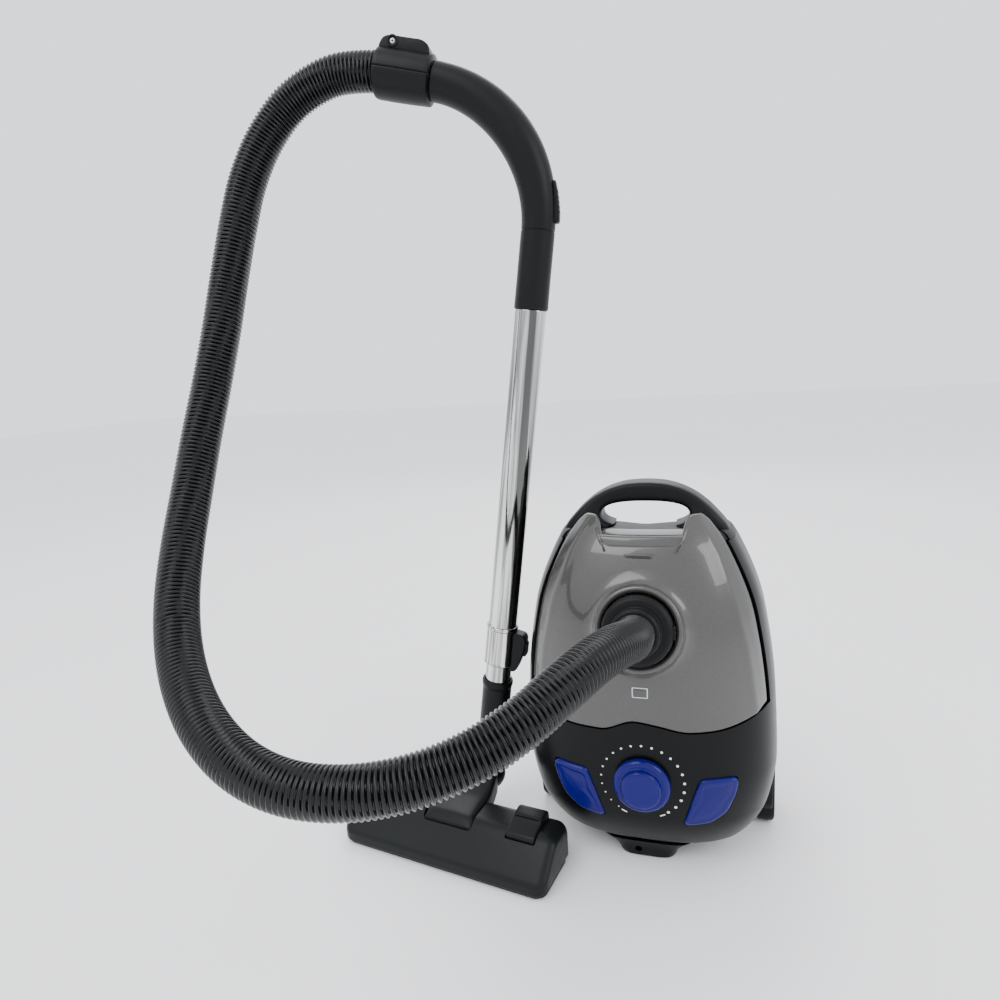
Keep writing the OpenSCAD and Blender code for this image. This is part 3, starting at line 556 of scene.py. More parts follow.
SATIN_LIFT = 1.3
FINISH_NAMES = {
    "black_gloss": "panel black", "black_matte": "satin black", "head_plastic": "head grey-green",
    "lid_grey": "lid paint", "blue_gloss": "blue gloss", "chrome_tube": "chrome", "steel": "plain steel",
    "alu": "cast aluminium", "armature_copper": "copper winding", "tyre_rubber": "tyre rubber",
    "seal_rubber": "seal rubber", "hose_plastic": "hose plastic", "bag_paper": "bag paper",
    "filter_wool": "filter fleece", "bristle": "bristle", "window": "window tint", "white_print": "white print",
    "board": "circuit board"}
FINISHES = {
    "black_gloss": dict(rough=0.3, spread=0.05, grain=1500, bump=0.03, specular=0.14),
    "black_matte": dict(rough=0.4, grain=1700, bump=0.12, specular=0.16),
    "head_plastic": dict(rough=0.38, grain=1500, bump=0.12, specular=0.18),
    "blue_gloss": dict(rough=0.22, spread=0.04, vary=0.08, grain=400, bump=0.01, specular=0.22),
    "steel": dict(colour=(0.5, 0.5, 0.5), rough=0.32, spread=0.08, vary=0.1, metallic=1.0, grain=800, bump=0.05,
                  stretch=(1, 1, 0.1)),
    "alu": dict(colour=(0.62, 0.62, 0.63), rough=0.45, spread=0.08, vary=0.1, metallic=1.0, grain=1300,
                bump=0.3),
    "armature_copper": dict(colour=(0.5, 0.23, 0.1), rough=0.35, spread=0.1, vary=0.25, metallic=1.0, grain=900,
                            bump=0.5, stretch=(0.1, 0.1, 2)),
    "tyre_rubber": dict(colour=(0.022, 0.022, 0.024), rough=0.72, spread=0.08, vary=0.2, grain=1400,
                        bump=0.25),
    "seal_rubber": dict(colour=(0.018, 0.018, 0.018), rough=0.6, spread=0.06, vary=0.15, grain=1200,
                        bump=0.15),
    "hose_plastic": dict(colour=(0.0016, 0.0018, 0.0022), rough=0.24, spread=0.05, vary=0.15, grain=700,
                         bump=0.05, specular=0.3),
    "bag_paper": dict(colour=(0.55, 0.43, 0.27), rough=0.85, spread=0.06, vary=0.14, grain=1100, bump=0.5,
                      patch=30, sheen=0.1),
    "filter_wool": dict(colour=(0.75, 0.75, 0.7), rough=0.95, spread=0.04, vary=0.1, grain=1800, bump=0.8,
                        patch=60, sheen=0.3),
    "bristle": dict(colour=(0.015, 0.015, 0.015), rough=0.6, spread=0.1, vary=0.4, grain=1500, bump=0.8,
                    stretch=(1, 1, 0.05)),
    "window": dict(colour=(0.006, 0.006, 0.007), rough=0.08, spread=0.02, vary=0.1, grain=300, bump=0.005,
                   coat=1.0),
    "white_print": dict(colour=(0.78, 0.78, 0.76), rough=0.5, spread=0.05, vary=0.05, grain=900, bump=0.1),
    "board": dict(colour=(0.02, 0.12, 0.045), rough=0.4, spread=0.08, vary=0.3, grain=500, bump=0.1, patch=120),
}


def finish_for(slot):
    """The finish of each material slot in the record, made when it is first asked for."""
    found = bpy.data.materials.get(FINISH_NAMES[slot])
    if found:
        return found
    look = settings()
    own = {"black_gloss": look.black_colour, "black_matte": [c * SATIN_LIFT for c in look.black_colour],
           "head_plastic": look.head_colour, "blue_gloss": look.blue_colour, "lid_grey": look.lid_colour}
    if slot == "lid_grey":
        return lid_paint(FINISH_NAMES[slot], tuple(own[slot]))
    if slot == "chrome_tube":
        return chrome(FINISH_NAMES[slot])
    values = dict(FINISHES[slot])
    colour = tuple(own[slot]) if slot in own else values.pop("colour")
    return finish(FINISH_NAMES[slot], colour, **values)


def place_on(piece, body, slot, *nodes):
    """Gives a piece its finish, its body and the nodes that it stands for."""
    piece.data.materials.clear()
    piece.data.materials.append(finish_for(slot))
    piece.data.name = piece.name
    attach(piece, body)
    if nodes:
        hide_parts(*nodes)
    return piece


# ---- Casing ----

RIM_COLS = 7
PEDAL_GAP = 1.0
GRILLE_GAP = 0.3
SCREW_HOLES = ((-0.26, 0.46), (0.26, 0.46), (-0.2, 0.8), (0.2, 0.8))
TOP_SEAM_Z = CROWN_Z - CROWN_T


def rim_share(z):
    """The share of the half width at which the rim beside the lid begins."""
    return (half_width(z) - RIM_W) / half_width(z)


def even(count):
    """Positions from -1 to 1 that crowd towards both ends: the sine of a right angle times a sine."""
    t = np.linspace(-1, 1, count)
    return np.sin(math.pi / 2 * np.sin(math.pi / 2 * t))


def casing_floor(edge):
    """Rows from the middle line of the casing's bottom out to its lowest edge."""
    return stretch_between(edge * np.array([0, 0, 1.0]) + np.array([0, 0.3, 0]), edge, 8)


def casing_front():
    """The front casing. Its panel is a grid over width and height whose top row follows the lid's wave,
    and a strip on each side goes on up beside the lid. The top edge and the bottom turn inwards."""
    left, right = wave_z(-1), wave_z(1)
    q_left, q_right = -rim_share(left), rim_share(right)
    middle = (even(121) * 0.5 + 0.5) * (q_right - q_left) + q_left
    q = np.concatenate([np.linspace(-1, q_left, RIM_COLS)[:-1], middle,
                        np.linspace(q_right, 1, RIM_COLS)[1:]])
    share = np.where(q < 0, q / -q_left, q / q_right)
    top = wave_z(np.clip(share, -1, 1)) - 1.0
    top = np.where(q <= q_left, left, np.where(q >= q_right, right, top))
    rows = np.linspace(0, 1, 86)[:, None]
    z = LOW_Z + rows * (top - LOW_Z)
    q_grid = np.broadcast_to(q, z.shape)
    panel = casing_point(q_grid, z, -1)
    inner = (q >= q_left) & (q <= q_right)
    lips = []
    for drop, depth in ((0.3, 0.9), (1.2, 1.6), (3.0, 1.8), (7.0, 1.9)):
        row = casing_point(q, top - 0.4 * depth, -1, -drop - 0.5)
        lips.append(np.where(inner[:, None], row, panel[-1]))
    panel = np.concatenate([panel[:-1], casing_point(q, top - 0.35, -1)[None], np.stack(lips)])
    grids = [np.concatenate([casing_floor(panel[0])[:-1], panel])]
    for side, start in zip(SIDES, (left, right)):
        rise = np.linspace(start, TOP_SEAM_Z, 60)[:, None]
        across = np.linspace(0, 1, RIM_COLS)[None]
        inner_q = rim_share(rise)
        strip_q = side * (inner_q + (1 - inner_q) * across)
        if side < 0:
            strip_q = strip_q[:, ::-1]
        grids.append(casing_point(strip_q, np.broadcast_to(rise, strip_q.shape), -1))
    piece = surfaces("casing_front", grids)
    thicken(piece, SHELL_T)
    applied(piece)
    openings = [pedal_outline(side, PEDAL_GAP) for side in SIDES] + [round_hole(KNOB_R * 0.3, (0, KNOB_Z))]
    return carve(piece, *[cutter(opening, 30, 160) for opening in openings])


def pedal_outline(side, gap=0.0):
    """A pedal's outline in x and z, grown by a gap."""
    outline = resample(rounded_outline(PEDAL * (BODY_W, BODY_H), 7), 120)
    return (outline + unit(outline - outline.mean(0)) * gap) * (side, 1)


def back_top(q):
    """Height of the back casing's upper edge: level with the front at the sides, and lower in the middle."""
    return TOP_SEAM_Z - 36 * (1 - np.abs(q) ** 2.2) ** 1.2


def casing_back():
    """The back casing: the other half of the same cross sections, closed below, with the wheel arches, the
    outlet grille's opening, the screw holes and the cord's outlet cut in it."""
    q = even(101)[:, None]
    z = LOW_Z + np.linspace(0, 1, 110)[None] * (back_top(q) - LOW_Z)
    wall = casing_point(np.broadcast_to(q, z.shape), z, 1)
    floor = casing_floor(wall[:, 0])
    piece = surface("casing_back", np.concatenate([floor[:-1].transpose(1, 0, 2), wall], axis=1))
    thicken(piece, SHELL_T)
    applied(piece)
    cutters = []
    for side in SIDES:
        x = sorted(side * (WHEEL[0] + reach) for reach in (-12, 40))
        cutters.append(cutter(round_hole(WHEEL_R + WELL_GAP, WHEEL[1:], 96), x[0], x[1], FROM_SIDE))
    low, high = box_of("exhaust_grille")
    low, high = low - GRILLE_GAP, high + GRILLE_GAP
    cutters.append(cutter(oblong(low[0], high[0], low[2], high[2], 2), -130, -60))
    for share_x, share_z in SCREW_HOLES:
        cutters.append(cutter(round_hole(4, (share_x * BODY_W, share_z * BODY_H)), -130, -50))
    low, high = box_of("cord_outlet")
    cutters.append(cutter(round_hole(8, ((low + high) / 2)[:2]), 0, 40, FROM_ABOVE))
    return carve(piece, *cutters)


def wheel_arch(side):
    """The inside of a wheel arch: a part ring round the wheel and a disc behind it."""
    a = np.linspace(math.radians(62), math.radians(298), 70)
    radius = WHEEL_R + WELL_GAP
    outside = radius + 2.4
    profile = rounded_profile([(2, -11.4), (radius - 3, -11.4), (radius, -9.5), (radius, 11.8), (outside, 11.8),
                               (outside, -13.5), (2, -13.5), (2, -11.4)], 1.5)
    r, x = profile[:, 0][None], profile[:, 1][None]
    grid = np.stack([side * (WHEEL[0] + x + 0 * a[:, None]), WHEEL[1] + r * np.cos(a)[:, None],
                     WHEEL[2] + r * np.sin(a)[:, None]], -1)
    grid[..., 1] = np.minimum(grid[..., 1], BACK_D * 0.9)
    return face_out(surface(sided("wheel_arch", side), grid))


def side_fin(side):
    """A side fin: a rounded outline in the side view, thick at the wheel and drawn in at its outer face."""
    corners = [(20, 0.3), (82, 0.3), (BACK_D - 4, 50), (BACK_D - 4, 130), (84, 180), (40, 190), (16, 120)]
    outline = resample(rounded_outline(corners, 22, 10), 140)
    x = sorted((side * (FIN_IN - 0.2), side * FIN_OUT))
    return plate(sided("side_fin", side), outline, x[0], x[1], 4.5, FROM_SIDE, 8)


def fin_root(side):
    """The web that joins a fin to the casing in front of the wheel: a lofted block from the casing's side."""
    corners = [(14, 30), (30, 14), (44, 40), (40, 188), (22, 196), (6, 120)]
    outline = resample(rounded_outline(corners, 8, 8), 90)
    x = sorted((side * 96, side * (FIN_OUT - 3)))
    return plate(sided("fin_root", side), outline, x[0], x[1], 3, FROM_SIDE, 6)


def standing_foot():
    """The foot: superellipse rings that widen upwards, with a rounded lower edge and a small blind hole."""
    rows = np.array([(0.2, 31.5, 0.0), (0.6, 33.2, 0.4), (2.0, 34.2, 0.8), (6, 35.5, 1), (11, 38.5, 1),
                     (16, 43, 1), (20.4, 49, 1), (24, 55, 1)])
    count, middle_y = 96, -13
    rings = []
    for z, half, grow in rows:
        depth = 50 + 3 * grow + (half - 34) * 0.25
        ring = loop_of(half, depth, count, 5) + (0, middle_y)
        rings.append(np.concatenate([ring, np.full((count, 1), z)], 1))
    piece = face_out(surface("standing_foot_shell", capped(np.stack(rings)), wrap_cols=True, sharp=50))
    return carve(piece, cutter(round_hole(4, (-10, 11)), 58, 90))


# ---- Carry handle ----

ARCH = np.array([
    (97, 377), (91, 390), (80.5, 403), (69, 414.5), (54, 425.5), (36, 433.8), (18, 438), (0, 439)], float)
LEDGE_ROOM = 4.5
OPENING_Z, OPENING_H, GRIP_HALF = 0.871 * BODY_H, 0.062 * BODY_H, 49.0


def crown():
    """The top of the casing: rings at one cross section, rounded over and closed by a low dome. Beside the
    lid's two prongs the front of each ring steps back by a wall's thickness."""
    a = full_turn(200)
    q = signed_power(np.cos(a), 2 / ROUNDNESS)
    side = np.where(np.sin(a) > 0, 1, -1)
    base = np.where(side > 0, back_top(q), TOP_SEAM_Z)
    rings = []
    for rise, inset in ((0.3, 0), (4, 0), (6, 0.5), (8, 1.8), (9.2, 4.2), (9.8, 8), (10, 13)):
        ring = casing_point(q, np.clip(base + rise, None, CROWN_Z), side, -inset)
        ring[:, 1] += LEDGE_ROOM * (side < 0) * step_up(rim_share(TOP_SEAM_Z) - np.abs(q), -0.02, 0.0)
        rings.append(ring)
    rim = rings[-1]
    centre = np.array([0, -6.0, CROWN_Z])
    for share in (0.85, 0.7, 0.5, 0.3, 0.1):
        ring = centre + (rim - centre) * (share, share, 1)
        ring[:, 2] = CROWN_Z - (CROWN_Z - rim[:, 2]) * share ** 1.3
        rings.append(ring)
    return face_out(surface("crown", capped(np.stack(rings)), wrap_cols=True, sharp=50))


def grip_arch():
    """The arch of the carry handle. A rounded oblong is carried from one leg to the other: its inner side
    follows the superellipse of the opening and its outer side follows the casing's outline."""
    turns = np.radians(np.linspace(-50, 230, 90))
    inner = np.stack([GRIP_HALF * signed_power(np.cos(turns), 0.8),
                      OPENING_Z + OPENING_H / 2 * (1 + signed_power(np.sin(turns), 0.8))], -1)
    whole = np.concatenate([ARCH, ARCH[-2::-1] * (-1, 1)])
    length = lengths_along(whole)
    at = np.linspace(0, length[-1], len(turns))
    outer = np.stack([smooth_through(at, length, whole[:, 0]), smooth_through(at, length, whole[:, 1])], -1)
    front, back = -24 + 9 * step_up(outer[:, 1], 392, 438), 22
    loop = loop_of(1, 1, 48, 4.5)
    middle, half = (inner + outer) / 2, (outer - inner) / 2
    grid = np.empty((len(turns), len(loop), 3))
    grid[..., 0] = middle[:, :1] + half[:, :1] * loop[:, 0]
    grid[..., 2] = middle[:, 1:] + half[:, 1:] * loop[:, 0]
    grid[..., 1] = ((front + back) / 2)[:, None] + ((back - front) / 2)[:, None] * loop[:, 1]
    return face_out(surface("grip_arch", capped(grid), wrap_cols=True, sharp=50))


# ---- Lid ----

BOSS_LIP = np.array([(38.5, -3), (38.5, 8.5), (39.4, 10.8), (41.2, 11.9), (43.6, 12), (45.3, 11.1), (46, 9.4)])


def lid_outline():
    """The lid's edge in x and z: the wave, the two sides, and the scoop between the prongs."""
    share = np.linspace(-1, 1, 90)
    low_z = wave_z(share)
    low = np.stack([share * (half_width(low_z) - RIM_W - 1), low_z], -1)
    side_z = np.linspace(wave_z(1) + 6, 0.9 * BODY_H, 60)
    right = np.stack([half_width(side_z) - RIM_W - 1, side_z], -1)
    tip = 0.915 * BODY_H
    scoop = np.array([(half_width(tip) - RIM_W - 3.5, tip), (52.5, tip), (47.5, tip - 8), (45, SCOOP_Z + 12),
                      (42, SCOOP_Z + 4), (35, SCOOP_Z)])
    scoop = np.concatenate([scoop, scoop[::-1] * (-1, 1)])
    left_z = np.linspace(0.9 * BODY_H, wave_z(-1) + 6, 60)
    left = np.stack([-(half_width(left_z) - RIM_W - 1), left_z], -1)
    return resample(rounded_outline(np.concatenate([low, right, scoop, left]), 3.0, 3), 420)


def lid_relief(x, z):
    """How far the lid stands off the plain casing: it falls away beyond a crease that runs down each side,
    and swells a little along the crease."""
    crease = np.interp(z, (180, 221, 264, 319, 368, 410), (121, 116, 110, 97, 80, 58))
    beyond = np.abs(x) - crease
    return 0.9 * np.exp(-(beyond / 5) ** 2) - 0.11 * np.clip(beyond, 0, None)


def lid_skin(x, z, out=0.0):
    """A point of the lid's surface: the casing's front, moved outwards by the lid's relief."""
    return on_front(x, z, lid_relief(x, z) + out)


def dust_lid():
    """The lid: rings that start on the inlet boss's turned lip, run down its fillet, spread over the casing's
    surface to the lid's edge, and roll over it."""
    outline = lid_outline()
    centre = np.array([0, INLET_Z])
    away = outline - centre
    angle = np.unwrap(np.arctan2(away[:, 1], away[:, 0]))
    if angle[-1] < angle[0]:
        outline, away, angle = outline[::-1], away[::-1], angle[::-1]
    count, ease = len(angle), np.hanning(47)
    laps = np.concatenate([angle - 2 * math.pi, angle, angle + 2 * math.pi])
    eased = np.convolve(np.maximum.accumulate(laps), ease / ease.sum(), "same")[count:2 * count]
    c, s = np.cos(eased), np.sin(eased)
    forward = np.roll(outline, -1, 0) - np.roll(outline, 1, 0)
    outward = unit(np.stack([forward[:, 1], -forward[:, 0]], -1))

    def boss_ring(r, h):
        return INLET.at(np.stack([r * c, r * s, np.full(len(c), float(h))], -1))

    def skin_ring(r, out=0.0):
        return lid_skin(r * c, INLET_Z + r * s, out)

    def edge_ring(share, inset=0.0, out=0.0):
        near = np.stack([60 * c, INLET_Z + 60 * s], -1)
        far = outline - outward * inset
        flat = near + (far - near) * share
        return lid_skin(flat[:, 0], flat[:, 1], out)

    rows = [boss_ring(r, h) for r, h in rounded_profile(BOSS_LIP, 0.5, 2)]
    start, first, second, end = rows[-1], boss_ring(46.6, 4.0), skin_ring(49.5, 0.6), skin_ring(60)
    for t in np.linspace(0, 1, 9)[1:]:
        rows.append((1 - t) ** 3 * start + 3 * t * (1 - t) ** 2 * first
                    + 3 * t * t * (1 - t) * second + t ** 3 * end)
    for t in np.linspace(0, 1, 46)[1:]:
        rows.append(edge_ring(t, 1.4))
    for inset, drop in ((0.9, 0.15), (0.45, 0.45), (0.12, 0.95), (0.0, 1.6), (0.0, 3.4)):
        rows.append(edge_ring(1, inset, -drop))
    piece = surface("lid_shell", np.stack(rows), wrap_cols=True, flip=True)
    thicken(piece, LID_T)
    return applied(piece)


def lid_ledge():
    """The lid's ledge under the opening: a profile of depth and height carried across the front, which turns
    from the lid's face over the crown's edge and runs back along its top. Its two ends roll down."""
    profile = [(1.4, 377.5), (1.2, 380.2), (2.2, 382.6), (3.4, 385.6), (4.6, 388), (6.6, 389.4), (10, 390),
               (18, 390.1), (30, 390), (38, 389.7), (39.6, 389.2), (39.6, 387.5)]
    profile = rounded_profile(profile, 1.6, 4)
    half, level = 47.4, 380.0
    x = half * np.sin(np.linspace(-math.pi / 2, math.pi / 2, 60))
    front = on_front(x, level)[:, 1]
    drop = 2.2 * step_up(np.abs(x), half - 1.8, half)
    grid = np.empty((len(profile), len(x), 3))
    grid[..., 0] = x
    grid[..., 1] = front + profile[:, :1]
    grid[..., 2] = profile[:, 1:] - drop
    piece = surface("lid_ledge", grid, sharp=50)
    if piece.data.polygons[len(piece.data.polygons) // 2].normal.z < 0:
        piece.data.flip_normals()
    thicken(piece, 0.9)
    return applied(piece)


def indicator():
    """The bag indicator: a dark window in a thin pale frame, laid on the lid's surface."""
    z = 0.513 * BODY_H
    below, y, above = (float(lid_skin(np.array(0.0), np.array(z + rise))[1]) for rise in (-5, 0, 5))
    slope = (above - below) / 10
    pieces = []
    for name, half_x, half_z, radius, proud in (("indicator_frame", 8.4, 5.8, 1, 0.5),
                                                ("indicator_pane", 7.4, 4.8, 0.6, 0.85)):
        outline = oblong(-half_x, half_x, z - half_z, z + half_z, radius)
        piece = plate(name, outline, -y - 1.5, -y + proud, 0.35, FROM_FRONT, 4)
        points = np.empty(len(piece.data.vertices) * 3)
        piece.data.vertices.foreach_get("co", points)
        points = points.reshape(-1, 3)
        points[:, 1] += slope * (points[:, 2] - z * MM)
        piece.data.vertices.foreach_set("co", points.ravel())
        pieces.append(piece)
    return pieces


def latch_tab():
    """The latch: a low rounded block above the lid's front."""
    low, high = box_of("lid_latch")
    z = 0.822 * BODY_H + 3
    y = float(lid_skin(np.array(0.0), np.array(z))[1])
    place = Place(((low[0] + high[0]) / 2, y + 2.5, z), turn("X", math.radians(90)))
    return pillow_block("latch_tab", (0, 0, 0), (17, 3.4, 3.2), place, 5.0)


# ---- Inlet connector ----

def connector_collar():
    """The connector's collar: a turned shell with two fine grooves and a rounded front edge."""
    r, foot = COLLAR_R, BOSS_H - 9
    profile = [(30, foot), (r - 0.8, foot), (r, foot + 2), (r, 15.5), (r - 0.7, 16), (r - 0.7, 17), (r, 17.5),
               (r - 0.2, 20.5), (r - 1.6, 23.4), (r - 4.5, 25), (28, 25.4), (24.4, 25.6), (18, 25.6), (18, -14),
               (30, -14), (30, foot)]
    piece = lathe("connector_collar", profile, INLET, 128, 0.8)
    return carve(piece, cutter(oblong(r - 5, 60, -7.3, 7.3, 0.4), 10, 22.6, INLET))


def connector_button():
    """The connector's button: a rounded oblong that stands a little proud of the collar."""
    outline = resample(oblong(-6.9, 6.9, 0, 9, 1.6), 64) + (0, BOSS_H + 0.6)
    return plate("connector_button", outline, COLLAR_R - 2.8, COLLAR_R + 1.4, 0.8,
                 INLET.moved((0, 0, 0), SIDE_VIEW), 5)


def hose_cuff():
    """The cuff at the hose's end: a turned sleeve with a step."""
    foot, rim = CUFF_START + 0.5, 46.9
    profile = [(18.2, foot), (26.2, foot), (26.2, 29), (25.2, 30.4), (25.2, 43), (24.6, 45.6), (22.6, rim),
               (18.2, rim), (18.2, foot)]
    return lathe("hose_cuff", profile, INLET, 96, 0.8)


# ---- Panel controls ----

def knob():
    """The knob: a turned dome ring, a groove, and a raised disc with a crowned face."""
    front = box_of("speed_knob")[0][1]
    r = KNOB_R
    profile = [(3.5, -16), (r - 3, -1.2), (r - 0.5, 0.4), (r, 3), (r - 0.4, 6), (r - 2.4, 8.4), (r - 5, 9.4),
               (r - 7.6, 9.2), (r - 8.6, 9.8), (r - 8.9, 12.5), (r - 10, 15.2), (r - 12.4, 16.4),
               (r * 0.35, 16.95), (0.01, 17)]
    return lathe("speed_knob_cap", profile, Place((0, front + KNOB_H, KNOB_Z), FRONT_VIEW), 128, 2.2, 60)


def foot_pedal(side):
    """A pedal: rings that draw in from its outline over the casing's surface. The edge rolls down into the
    panel, and the face is crowned with a raised band along its top."""
    outline = pedal_outline(side)
    middle = outline.mean(0)
    reach = np.linalg.norm(outline - middle, axis=1)
    rows = []
    profile = ((0, -9), (0, -1.0), (0.25, 0.3), (0.9, 1.4), (2.2, 2.3), (4, 2.7), (6.5, 2.5), (8, 2.25))
    inner = [(8 + t * (reach.min() - 9), 2.25 + 0.5 * t) for t in np.linspace(0.1, 1, 9)]
    for inset, out in list(profile) + inner:
        ring = middle + (outline - middle) * (1 - np.minimum(inset, reach - 0.5) / reach)[:, None]
        top = 1.1 * step_up(ring[:, 1], 116, 130) * (inset > 1)
        rows.append(on_front(ring[:, 0], ring[:, 1], out + top))
    return face_out(surface(sided("pedal", side), capped(np.stack(rows)), wrap_cols=True, sharp=60))


def dial_dots():
    """The dots round the knob: low domes that grow along the ring, and a short bar at each end of it."""
    along = np.arange(DOT_COUNT) / (DOT_COUNT - 1)
    a = np.radians(233 - 286 * along)
    x, z = DIAL_R * np.cos(a), KNOB_Z + DIAL_R * np.sin(a)
    r = 0.8 + 0.9 * along
    turns = full_turn(20)
    rings = []
    for share, out in ((1.0, -0.2), (1.0, 0.12), (0.75, 0.32), (0.4, 0.42), (0.02, 0.45)):
        rings.append(on_front(x[:, None] + r[:, None] * share * np.cos(turns),
                              z[:, None] + r[:, None] * share * np.sin(turns), out))
    grids = list(np.stack(rings, 1))
    bar_r = DIAL_R + 1
    for angle in (math.radians(243), math.radians(-63)):
        turned = np.array([(math.cos(angle + math.pi / 2), math.sin(angle + math.pi / 2)),
                           (-math.cos(angle), -math.sin(angle))])
        rings = []
        for share, out in ((1.0, -0.2), (1.0, 0.12), (0.7, 0.34), (0.02, 0.4)):
            loop = loop_of(3.4 * share, 0.8 * share, 20, 3) @ turned
            rings.append(on_front(loop[:, 0] + bar_r * math.cos(angle),
                                  loop[:, 1] + KNOB_Z + bar_r * math.sin(angle), out))
        grids.append(np.stack(rings))
    return face_out(surfaces("dial_dots", grids, True))


# ---- Wheels ----

def tyre(side):
    """A tyre: a turned band with rounded shoulders and three shallow grooves round its tread."""
    half, r = WHEEL_W / 2 - 1, WHEEL_R
    inner, floor = r - TYRE_T, r - 0.9
    grooves = [point for at in (-3.8, 0, 3.8)
               for point in ((r, at - 0.8), (floor, at - 0.4), (floor, at + 0.4), (r, at + 0.8))]
    profile = [(inner, -half), (r - 2, -half), (r, -half + 2.4), *grooves, (r, half - 2.4), (r - 2, half),
               (inner, half), (inner, -half)]
    return lathe(sided("tyre_band", side), profile, Place(WHEEL * (side, 1, 1), SIDE_VIEW), 128, 0.5)


def caster_tyre():
    """The caster's roller: a turned disc with stepped flanks, bored for its pin."""
    low, high = box_of("caster_wheel")
    middle, r, half = (low + high) / 2, (high[2] - low[2]) / 2, (high[0] - low[0]) / 2
    profile = [(2.6, -half), (r - 3, -half), (r - 2.2, -half + 0.6), (r, -half + 2.4), (r, half - 2.4),
               (r - 2.2, half - 0.6), (r - 3, half), (2.6, half), (2.6, -half)]
    return lathe("caster_roller_wheel", profile, Place(middle, SIDE_VIEW), 64, 0.8)


def caster_boss():
    """The boss that holds the caster: a short turned ring on the back casing."""
    z = 0.77 * BODY_H
    y = float(station(z, 3, BACK_D))
    profile = [(6.2, -12), (17.5, -12), (17.2, 1.5), (16.2, 3.6), (14.5, 4), (6.2, 4), (6.2, -12)]
    backwards = np.array([(1, 0, 0), (0, 0, 1), (0, -1, 0)])
    return lathe("caster_boss", profile, Place((0, y, z), backwards), 64, 0.8)


# ---- Hose ----

def spline_through(points, count):
    """Points at even lengths on a cubic through the given points. Each point's slope is half the step from
    the point before it to the point after it."""
    ends = np.concatenate([[2 * points[0] - points[1]], points, [2 * points[-1] - points[-2]]])
    t = np.linspace(0, 1, 40, endpoint=False)[None, :, None]
    a, b, c, d = (ends[i:len(points) - 1 + i][:, None] for i in range(4))
    line = b + 0.5 * t * (c - a + t * (2 * a - 5 * b + 4 * c - d + t * (3 * (b - c) + d - a)))
    line = np.concatenate([line.reshape(-1, 3), points[-1:]])
    length = lengths_along(line)
    at = np.linspace(0, length[-1], count)
    return np.stack([np.interp(at, length, line[:, i]) for i in range(3)], -1), length[-1]


def hose_tube(name, line, start_length, segments=36):
    """A ribbed tube round a line. Its radius drops in a narrow valley once a pitch, and the valley climbs one
    pitch in each turn, so the ribs are a helix. One axis of each ring is level, and the other is square to it
    and to the line."""
    look = settings()
    pitch, depth = look.hose_pitch / MM, look.hose_depth / MM
    tangent = unit(np.gradient(line, axis=0))
    sides = unit(np.cross(tangent, (0.0, 0.0, 1.0)))
    along = start_length + lengths_along(line)
    a = full_turn(segments)
    phase = along[:, None] / pitch + a[None] / (2 * math.pi)
    crest = np.abs(np.sin(math.pi * phase)) ** 0.8
    radius = HOSE_D / 2 - depth * (1 - crest)
    other = np.cross(tangent, sides)
    grid = line[:, None] + radius[..., None] * (np.cos(a)[None, :, None] * sides[:, None]
                                               + np.sin(a)[None, :, None] * other[:, None])
    return face_out(surface(name, capped(grid), wrap_cols=True, sharp=75))


# ---- Wand ----

def wand_lathe(name, profile, at=0.0, radius=0.6):
    """A turned piece round the wand's axis, at a height along it."""
    return lathe(name, profile, WAND.moved((0, 0, at)), 96, radius)


def outer_tube():
    """The outer tube: a turned shell with a rolled foot, bored for the inner tube."""
    r, bore, end = OUTER_R, INNER_R + 0.35, OUTER_LEN
    profile = [(bore, 0), (r - 0.3, 0), (r, 0.5), (r, end - 1.2), (r - 0.4, end), (bore, end), (bore, 0)]
    return wand_lathe("outer_tube_chrome", profile, OUTER_START)


def inner_tube():
    """The inner tube: a turned shell with a small chamfer at each end."""
    r, bore, end = INNER_R, INNER_R - 1.2, INNER_LEN
    profile = [(bore, 0), (r - 0.1, 0), (r, 0.4), (r, end - 0.6), (r - 0.2, end), (bore, end), (bore, 0)]
    return wand_lathe("inner_tube_chrome", profile, INNER_START)


def lock_sleeve():
    """The lock's chrome sleeve, with a rolled bead at each end."""
    profile = [(16.1, 9), (18.9, 9), (19.6, 9.8), (19.6, 11.2), (19.1, 12.2), (19.1, 55), (19.8, 56.2),
               (19.8, 58.2), (19.1, 59.6), (17.55, 60), (17.55, 14), (16.1, 12), (16.1, 9)]
    return wand_lathe("lock_sleeve_chrome", profile, LOCK_START)


def lock_housing():
    """The lock's black housing beside the sleeve: an outline in the side view, thick across the tube."""
    corners = [(15, 2), (21, 2), (25, 6), (32, 30), (33, 46), (30, 52), (15, 54)]
    outline = resample(rounded_outline(corners, 3.2), 90)
    return plate("lock_housing", outline, -8.6, 8.6, 2.2, WAND.moved((0, 0, LOCK_START), FRONT_VIEW), 6)


def lock_button():
    """The lock's slide: a narrow rounded pad on the housing's back."""
    place = WAND.moved((0, 0, LOCK_START), FRONT_VIEW)
    corners = [(27, 24), (33.4, 24), (35, 27), (35, 40), (33.4, 43), (27, 43)]
    outline = resample(rounded_outline(corners, 1.5), 64)
    return plate("lock_slide", outline, -5, 5, 1.0, place, 5)


def neck_elbow():
    """The neck: a ball at the foot of a tube that ends in a soft rim round the inner chrome tube."""
    a, r = np.radians(np.linspace(-88, 48, 14)), 21
    ball = np.stack([r * np.cos(a), r * np.sin(a)], -1)
    tube = [(15.5, 22), (15.8, 30), (17.6, 36), (18.3, 60), (18.3, 126), (19.3, 129), (19.6, 133), (18.9, 136),
            (16.2, 136), (16.2, 70)]
    return wand_lathe("neck_tube", np.concatenate([[(0.01, -r)], ball, tube]), 0, 1.5)


